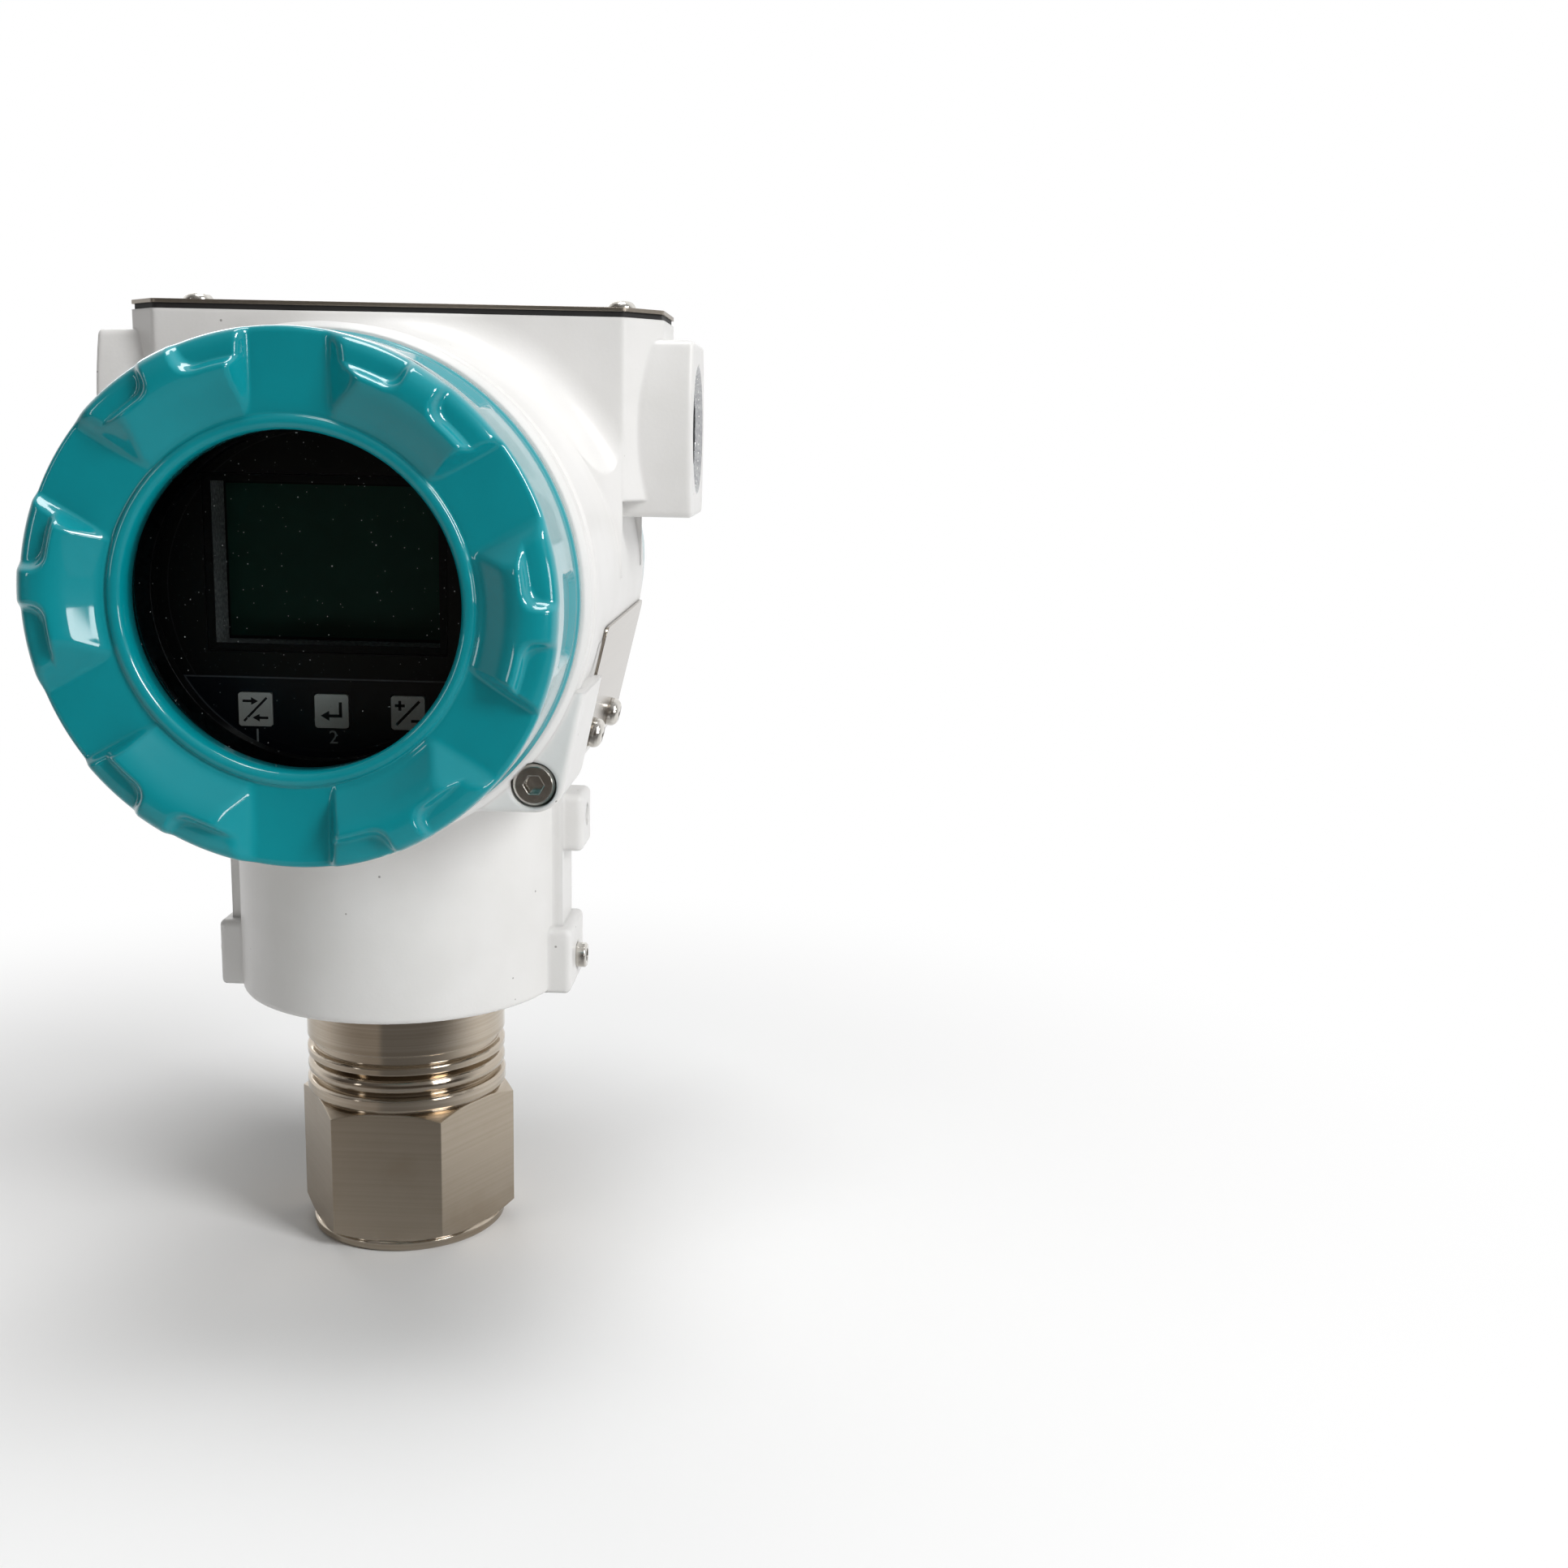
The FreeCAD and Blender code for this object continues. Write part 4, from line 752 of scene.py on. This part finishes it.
def cover_outside(angles, aims, depth, has_panels):
    """Points where rays from inside the wall leave the cover; aims are (r, t) pairs to shoot at."""
    centre = np.array([RAY_R, depth - RAY_DOWN])
    way = aims - centre
    way /= np.linalg.norm(way, axis=1)[:, None]
    angle = np.broadcast_to(angles[None, :], (len(aims), len(angles)))
    near = np.zeros(angle.shape)
    far = np.full(angle.shape, RAY_REACH)
    for _ in range(HALVINGS):
        middle = (near + far) / 2
        r = centre[0] + way[:, :1] * middle
        t = centre[1] + way[:, 1:] * middle
        top, floor = cover_top(np.maximum(r, 0.0), angle, depth)
        corner = 1.2 + 0.65 * np.clip(top - floor, 0, 4)
        outside = smooth_max(r - side_radius(t, angle, has_panels), t - top, corner) > 0
        far = np.where(outside, middle, far)
        near = np.where(outside, near, middle)
    return centre[0] + way[:, :1] * near, centre[1] + way[:, 1:] * near


# %% [markdown]
# The columns stand closer together where a notch wall or a tooth edge runs,
# and the rows where the profile bends. The inner side of a cover does not
# change with the angle: it is a plain profile that closes the loop, with the
# screw thread as a wave that climbs one pitch for each turn.


# %% The closed surface of a cover
def cover_angles():
    """Angles of the columns: fine at notch walls and tooth edges, wider between them."""
    sector = spread([(0, 6.5, 6), (6.5, 14, 22), (14, 20.5, 8), (20.5, 27, 16), (27, 30, 4),
                     (30, 35.5, 13), (35.5, 42, 8), (42, 54, 22), (54, 60, 5)])
    return np.radians(np.concatenate([LAND_TURN + 30 + 60 * k + sector for k in range(6)]))


def run(points, counts):
    """Points along straight legs between (r, t) corners, counts per leg, without the last corner."""
    legs = [np.linspace(a, b, n, endpoint=False) for a, b, n in zip(points[:-1], points[1:], counts)]
    return np.concatenate(legs)


def inner_profile(depth, has_window):
    """The inner side from the face's middle part down to the skirt's end, as (r, t) rows."""
    if has_window:
        return run(np.array([[28.0, depth], [27.6, depth + LIP_RISE], [26.3, depth + LIP_RISE],
                             [WINDOW_R, depth], [WINDOW_R, depth - GLASS_DOWN],
                             [GLASS_R, depth - GLASS_DOWN], [GLASS_R, depth - GLASS_BORE_END],
                             [SKIRT_R, depth - GLASS_BORE_END], [SKIRT_R, SKIRT_END]]),
                   [2, 2, 2, 2, 2, 2, 2, 2])
    return run(np.array([[27.0, depth], [0.0, depth], [0.0, depth - LID_THICK],
                         [SKIRT_R - 2, depth - LID_THICK], [SKIRT_R, depth - 6.0],
                         [SKIRT_R, SKIRT_END]]), [6, 1, 5, 2, 2])


def cover_thread(own):
    """Rows of the outer thread: a triangle wave in depth whose phase falls by one pitch per turn."""
    t = np.linspace(SKIRT_END, THREAD_TOP, 29)
    climb = (t[:, None] / THREAD_PITCH - own[None, :] / (2 * math.pi)) % 1.0
    tooth = np.clip(np.abs(climb - 0.5) * 4 - 0.5, 0, 1)
    runout = ease(t, SKIRT_END, SKIRT_END + 1.0) * (1 - ease(t, THREAD_TOP - 1.0, THREAD_TOP))
    middle_r = THREAD_R - THREAD_HALF - THREAD_SINK * (1 - runout[:, None])
    return middle_r + (THREAD_HALF * runout[:, None]) * (2 * tooth - 1), t[:, None]


def cover_surface(name, depth, has_window, facing):
    """The whole cover as rows of one loop: outside by rays, inside and skirt by their profile."""
    own = cover_angles()
    angles = -facing * own
    crest = depth + CREST_RISE
    side = run(np.array([[SIDE_R, 2.8], [SIDE_R, 3.9], [SIDE_R, 5.3], [SIDE_R, depth - 4.6],
                         [SIDE_R, depth - 2.6], [SIDE_R, depth]]), [2, 8, 8, 8, 5])
    over = run(np.array([[SIDE_R, depth], [SIDE_R, depth + 3.0], [SIDE_R - 3.0, crest],
                         [SHELF_R + 0.6, crest], [CREST_R - 1.2, crest],
                         [RAMP_R + 1.4, depth + 0.9], [RAMP_R - 0.6, depth]]), [12, 12, 8, 10, 10, 6])
    r_out, t_out = cover_outside(own, np.concatenate([side, over]), depth, has_window)
    front = inner_profile(depth, has_window)
    back = run(np.array([[SKIRT_R, SKIRT_END], [THREAD_ROOT_R, SKIRT_END]]), [2])
    r_thread, t_thread = cover_thread(own)
    rim = run(np.array([[GROOVE_R, GROOVE_BOTTOM], [GROOVE_R, 0.0], [40.2, 0.0], [RIM_R, 0.7],
                        [RIM_R, 2.2], [SIDE_R, 2.7], [SIDE_R, 2.8]]), [2, 2, 2, 2, 2, 1])
    wide = np.ones(len(angles))
    r = np.vstack([r_out, front[:, :1] * wide, back[:, :1] * wide, r_thread, rim[:, :1] * wide])
    t = np.vstack([t_out, front[:, 1:] * wide, back[:, 1:] * wide, t_thread * wide, rim[:, 1:] * wide])
    start = FRONT_RIM_Y if facing < 0 else REAR_RIM_Y
    points = [r * np.cos(angles), start + facing * t, AXIS_Z + r * np.sin(angles)]
    piece = surface(name, np.stack(points, axis=-1), close_rows=True, turn_over=True)
    merge_doubles(piece)
    return piece


front_cover = cover_surface("front_cover_cast", FRONT_DEPTH, True, -1)
place(front_cover, "front_cover", enamel.material, ["front_cover"])
rear_cover = cover_surface("rear_cover_cast", REAR_DEPTH, False, 1)
place(rear_cover, "rear_cover", enamel.material, ["rear_cover"])

# %% [markdown]
# Pipe threads inside a casting are cut after painting, so they shine. Each
# one is a thin sleeve against the wall of its bore: the inner side waves
# along the axis, and the wave's phase advances by one pitch per turn, which
# makes it a helix. The sleeve narrows with depth, as a taper thread does.


# %% Pipe threads
COLUMNS = 128
PIPE_PITCH = 1.814
ROWS_PER_PITCH = 12
TAPER = 32                  # millimetres of depth for each millimetre of radius
SKIN = 0.012                # what the sleeve keeps behind the thread's deepest line
ENTRY_Y = 13.0
ENTRY_Z = 154.4


def pipe_thread(name, mouth, bottom, wall_r, mouth_r, deep, to_space):
    """Sleeve from mouth to bottom along an axis; radius = wall - taper - depth * triangle wave."""
    angles = np.arange(COLUMNS) * 2 * math.pi / COLUMNS
    count = int(abs(bottom - mouth) / PIPE_PITCH * ROWS_PER_PITCH)
    s = np.linspace(0, 1, count)
    along = mouth + (bottom - mouth) * s
    travelled = np.abs(along - mouth)
    phase = (travelled[:, None] / PIPE_PITCH - angles[None, :] / (2 * math.pi)) % 1.0
    ridge = np.clip(1.2 - np.abs(phase - 0.5) * 2.9, 0, 1)
    ends = ease(travelled, 0.3, 1.6) * (1 - ease(travelled, travelled[-1] - 1.0, travelled[-1]))
    inner = wall_r - travelled[:, None] / TAPER * ends[:, None] - deep * ridge * ends[:, None]
    flare = np.array([[mouth - math.copysign(mouth_r - wall_r, bottom - mouth), mouth_r]])
    wide = np.ones((1, COLUMNS))
    r = np.vstack([flare[:, 1:] * wide, inner, (wall_r + SKIN) * wide, (wall_r + SKIN) * wide,
                   (flare[:, 1:] + SKIN) * wide])
    a = np.concatenate([flare[:, 0], along, [bottom, mouth], flare[:, 0]])[:, None] * wide
    return surface(name, to_space(a, r, angles), close_rows=True)


def along_x(a, r, angles):
    """Axis along X through the conduit entries."""
    return np.stack([a, ENTRY_Y + r * np.cos(angles), ENTRY_Z + r * np.sin(angles)], axis=-1)


def along_z(a, r, angles):
    """Axis up the middle of the pressure connection."""
    return np.stack([r * np.cos(angles), r * np.sin(angles), a], axis=-1)


def outward(piece):
    """Turns all faces of a closed piece outwards."""
    work = bmesh.new()
    work.from_mesh(piece.data)
    bmesh.ops.recalc_face_normals(work, faces=work.faces)
    work.to_mesh(piece.data)
    work.free()
    return piece


for side, name in ((1, "conduit_thread_right"), (-1, "conduit_thread_left")):
    sleeve = pipe_thread(name, side * 53.3, side * 34.9, 10.57, 11.90, 0.95, along_x)
    place(outward(sleeve), "housing", cut_metal.material)
port = pipe_thread("process_port_thread", 0.85, 18.8, 10.62, 11.38, 1.0, along_z)
place(outward(port), "sensor", steel.material)

# %% [markdown]
# The keys are marked with small printed signs: two arrows that pass each
# other, a return arrow, and plus over minus with a stroke between them.
# Under each key stands its number. A sign is a set of flat strokes: each
# stroke is a thin bar between two points, a few hundredths of a millimetre
# proud of the surface it is printed on.

# %% Printed signs
KEY_X = (-12.05, 0.4, 12.85)
KEY_Z = 108.4
KEY_FACE_Y = -47.55
PRINT = 0.03                # how far the print stands out
NUMBER_SIZE = 3.1
NUMBER_SHIFT = 0.15         # from the middle of a key to the middle of its number
NUMBER_Z = 104.0
NUMBER_Y = -47.31


def strokes(name, lines, centre_x, centre_z, face_y):
    """One mesh of thin bars: each line gives two points and two widths, its start and end width."""
    points = []
    faces = []
    for (x0, z0), (x1, z1), w0, w1 in lines:
        way = np.array([x1 - x0, z1 - z0], float)
        side = np.array([-way[1], way[0]]) / np.hypot(*way)
        corners = np.array([[x0, z0] + side * w0 / 2, [x0, z0] - side * w0 / 2,
                            [x1, z1] - side * w1 / 2, [x1, z1] + side * w1 / 2])
        base = len(points)
        for y in (face_y - PRINT, face_y + PRINT / 2):
            points += [(centre_x + cx, y, centre_z + cz) for cx, cz in corners]
        ring = [(0, 1, 5, 4), (1, 2, 6, 5), (2, 3, 7, 6), (3, 0, 4, 7), (0, 3, 2, 1), (4, 5, 6, 7)]
        faces += [tuple(base + i for i in face) for face in ring]
    mesh = bpy.data.meshes.new(name)
    mesh.from_pydata((np.array(points) * MM).tolist(), [], faces)
    piece = bpy.data.objects.new(name, mesh)
    bpy.context.scene.collection.objects.link(piece)
    return outward(piece)


ARROWS = [((-2.05, 1.35), (-0.55, 1.35), 0.40, 0.40), ((-0.65, 1.35), (0.45, 1.35), 1.25, 0.05),
          ((2.05, -1.35), (0.55, -1.35), 0.40, 0.40), ((0.65, -1.35), (-0.45, -1.35), 1.25, 0.05),
          ((-1.9, -1.95), (1.9, 1.95), 0.36, 0.36)]
RETURN = [((1.45, 1.5), (1.45, -0.75), 0.50, 0.50), ((1.70, -0.75), (-0.5, -0.75), 0.50, 0.50),
          ((-0.4, -0.75), (-1.75, -0.75), 1.65, 0.05)]
PLUS_MINUS = [((-2.1, 1.2), (-0.5, 1.2), 0.46, 0.46), ((-1.3, 2.0), (-1.3, 0.4), 0.46, 0.46),
              ((-1.9, -1.95), (1.9, 1.95), 0.42, 0.42), ((0.5, -1.3), (2.1, -1.3), 0.46, 0.46)]
ink = moulded("sign_ink", (0.010, 0.011, 0.013), (0.018, 0.019, 0.021), 0.5, 0.0003, 0.1)
pale_ink = moulded("pale_ink", (0.42, 0.45, 0.47), (0.52, 0.55, 0.57), 0.5, 0.0003, 0.1)
for name, sign, x in zip(("key_left", "key_middle", "key_right"), (ARROWS, RETURN, PLUS_MINUS), KEY_X):
    mark = strokes("sign_" + name, sign, x, KEY_Z, KEY_FACE_Y)
    place(mark, name, ink.material)


# %% Key numbers
def flat_text(name, text, size, x, z, face_y, thick=0.06):
    """Characters as a thin mesh that faces the front: made flat, stood up, then put in place."""
    letters = bpy.data.curves.new(name, "FONT")
    letters.body = text
    letters.size = size * MM
    letters.align_x = "CENTER"
    letters.align_y = "CENTER"
    letters.extrude = thick / 2 * MM
    holder = bpy.data.objects.new(name, letters)
    bpy.context.scene.collection.objects.link(holder)
    mesh = bpy.data.meshes.new_from_object(holder)
    bpy.data.objects.remove(holder)
    upright = Matrix.Rotation(math.radians(90), 4, "X")
    mesh.transform(Matrix.Translation(Vector((x, face_y, z)) * MM) @ upright)
    piece = bpy.data.objects.new(name, mesh)
    bpy.context.scene.collection.objects.link(piece)
    merge_doubles(piece)
    piece.data.shade_flat()
    return piece


for number, x in zip("123", KEY_X):
    digit = flat_text("number_" + number, number, NUMBER_SIZE, x + NUMBER_SHIFT, NUMBER_Z, NUMBER_Y)
    place(digit, "housing", pale_ink.material)

# %% [markdown]
# Beside the earth screw the casting carries the earth sign: a raised ring
# with a stem and three bars. It is cast with the wall and painted over, so it
# is low, round-edged and has the same paint. It lies on the flat ridge at the
# side, where the surface stands at a constant X.


# %% Earth sign
SIGN_X = -31.48
SIGN_Y = -0.6
SIGN_Z = 71.5
RING_R = 2.9
LINE_RISE = 0.24
LINE_WIDTH = 0.5
SUNK = 0.1                  # how far a bar's underside lies below the wall


def raised_bar(a, b, width, rise):
    """Half-round bar between two (y, z) points: rows along it, columns over its arch and back below."""
    a, b = np.array(a, float), np.array(b, float)
    way = (b - a) / np.linalg.norm(b - a)
    side = np.array([-way[1], way[0]])
    s = np.linspace(0, 1, 9)
    over = np.linspace(-1, 1, 11)
    u = np.concatenate([over, over[-2:0:-1]])
    above = rise * np.sqrt(np.clip(1 - over ** 2, 0, 1))
    arch = np.concatenate([above, np.full(len(u) - len(over), -SUNK)])
    end = np.sqrt(np.clip(1 - ((s - 0.5) * 2) ** 16, 0, 1))
    height = arch[None, :] * end[:, None]
    centre = a + (b - a) * s[:, None]
    across = side[None, None, :] * (u * width / 2)[None, :, None]
    yz = centre[:, None, :] + across
    return np.dstack([SIGN_X - height, yz[:, :, 0], yz[:, :, 1]])


phi = np.linspace(0, 2 * math.pi, 64, endpoint=False)
psi = np.linspace(0, 2 * math.pi, 12, endpoint=False)
tube_r = RING_R + LINE_RISE * np.cos(psi)[:, None]
sign_ring = surface("earth_sign_ring", np.dstack([
    np.broadcast_to(SIGN_X - LINE_RISE * np.sin(psi)[:, None], (12, 64)),
    SIGN_Y + tube_r * np.cos(phi), SIGN_Z + tube_r * np.sin(phi)]), close_rows=True)
place(outward(sign_ring), "housing", paint.material)
BARS = [((0, 2.6), (0, 0.2)), ((-1.6, 0.2), (1.6, 0.2)),
        ((-1.1, -0.7), (1.1, -0.7)), ((-0.55, -1.6), (0.55, -1.6))]
for i, (a, b) in enumerate(BARS):
    start, end = (SIGN_Y + a[0], SIGN_Z + a[1]), (SIGN_Y + b[0], SIGN_Z + b[1])
    bar = surface(f"earth_sign_bar_{i}", raised_bar(start, end, LINE_WIDTH, LINE_RISE))
    merge_doubles(bar)
    place(outward(bar), "housing", paint.material)
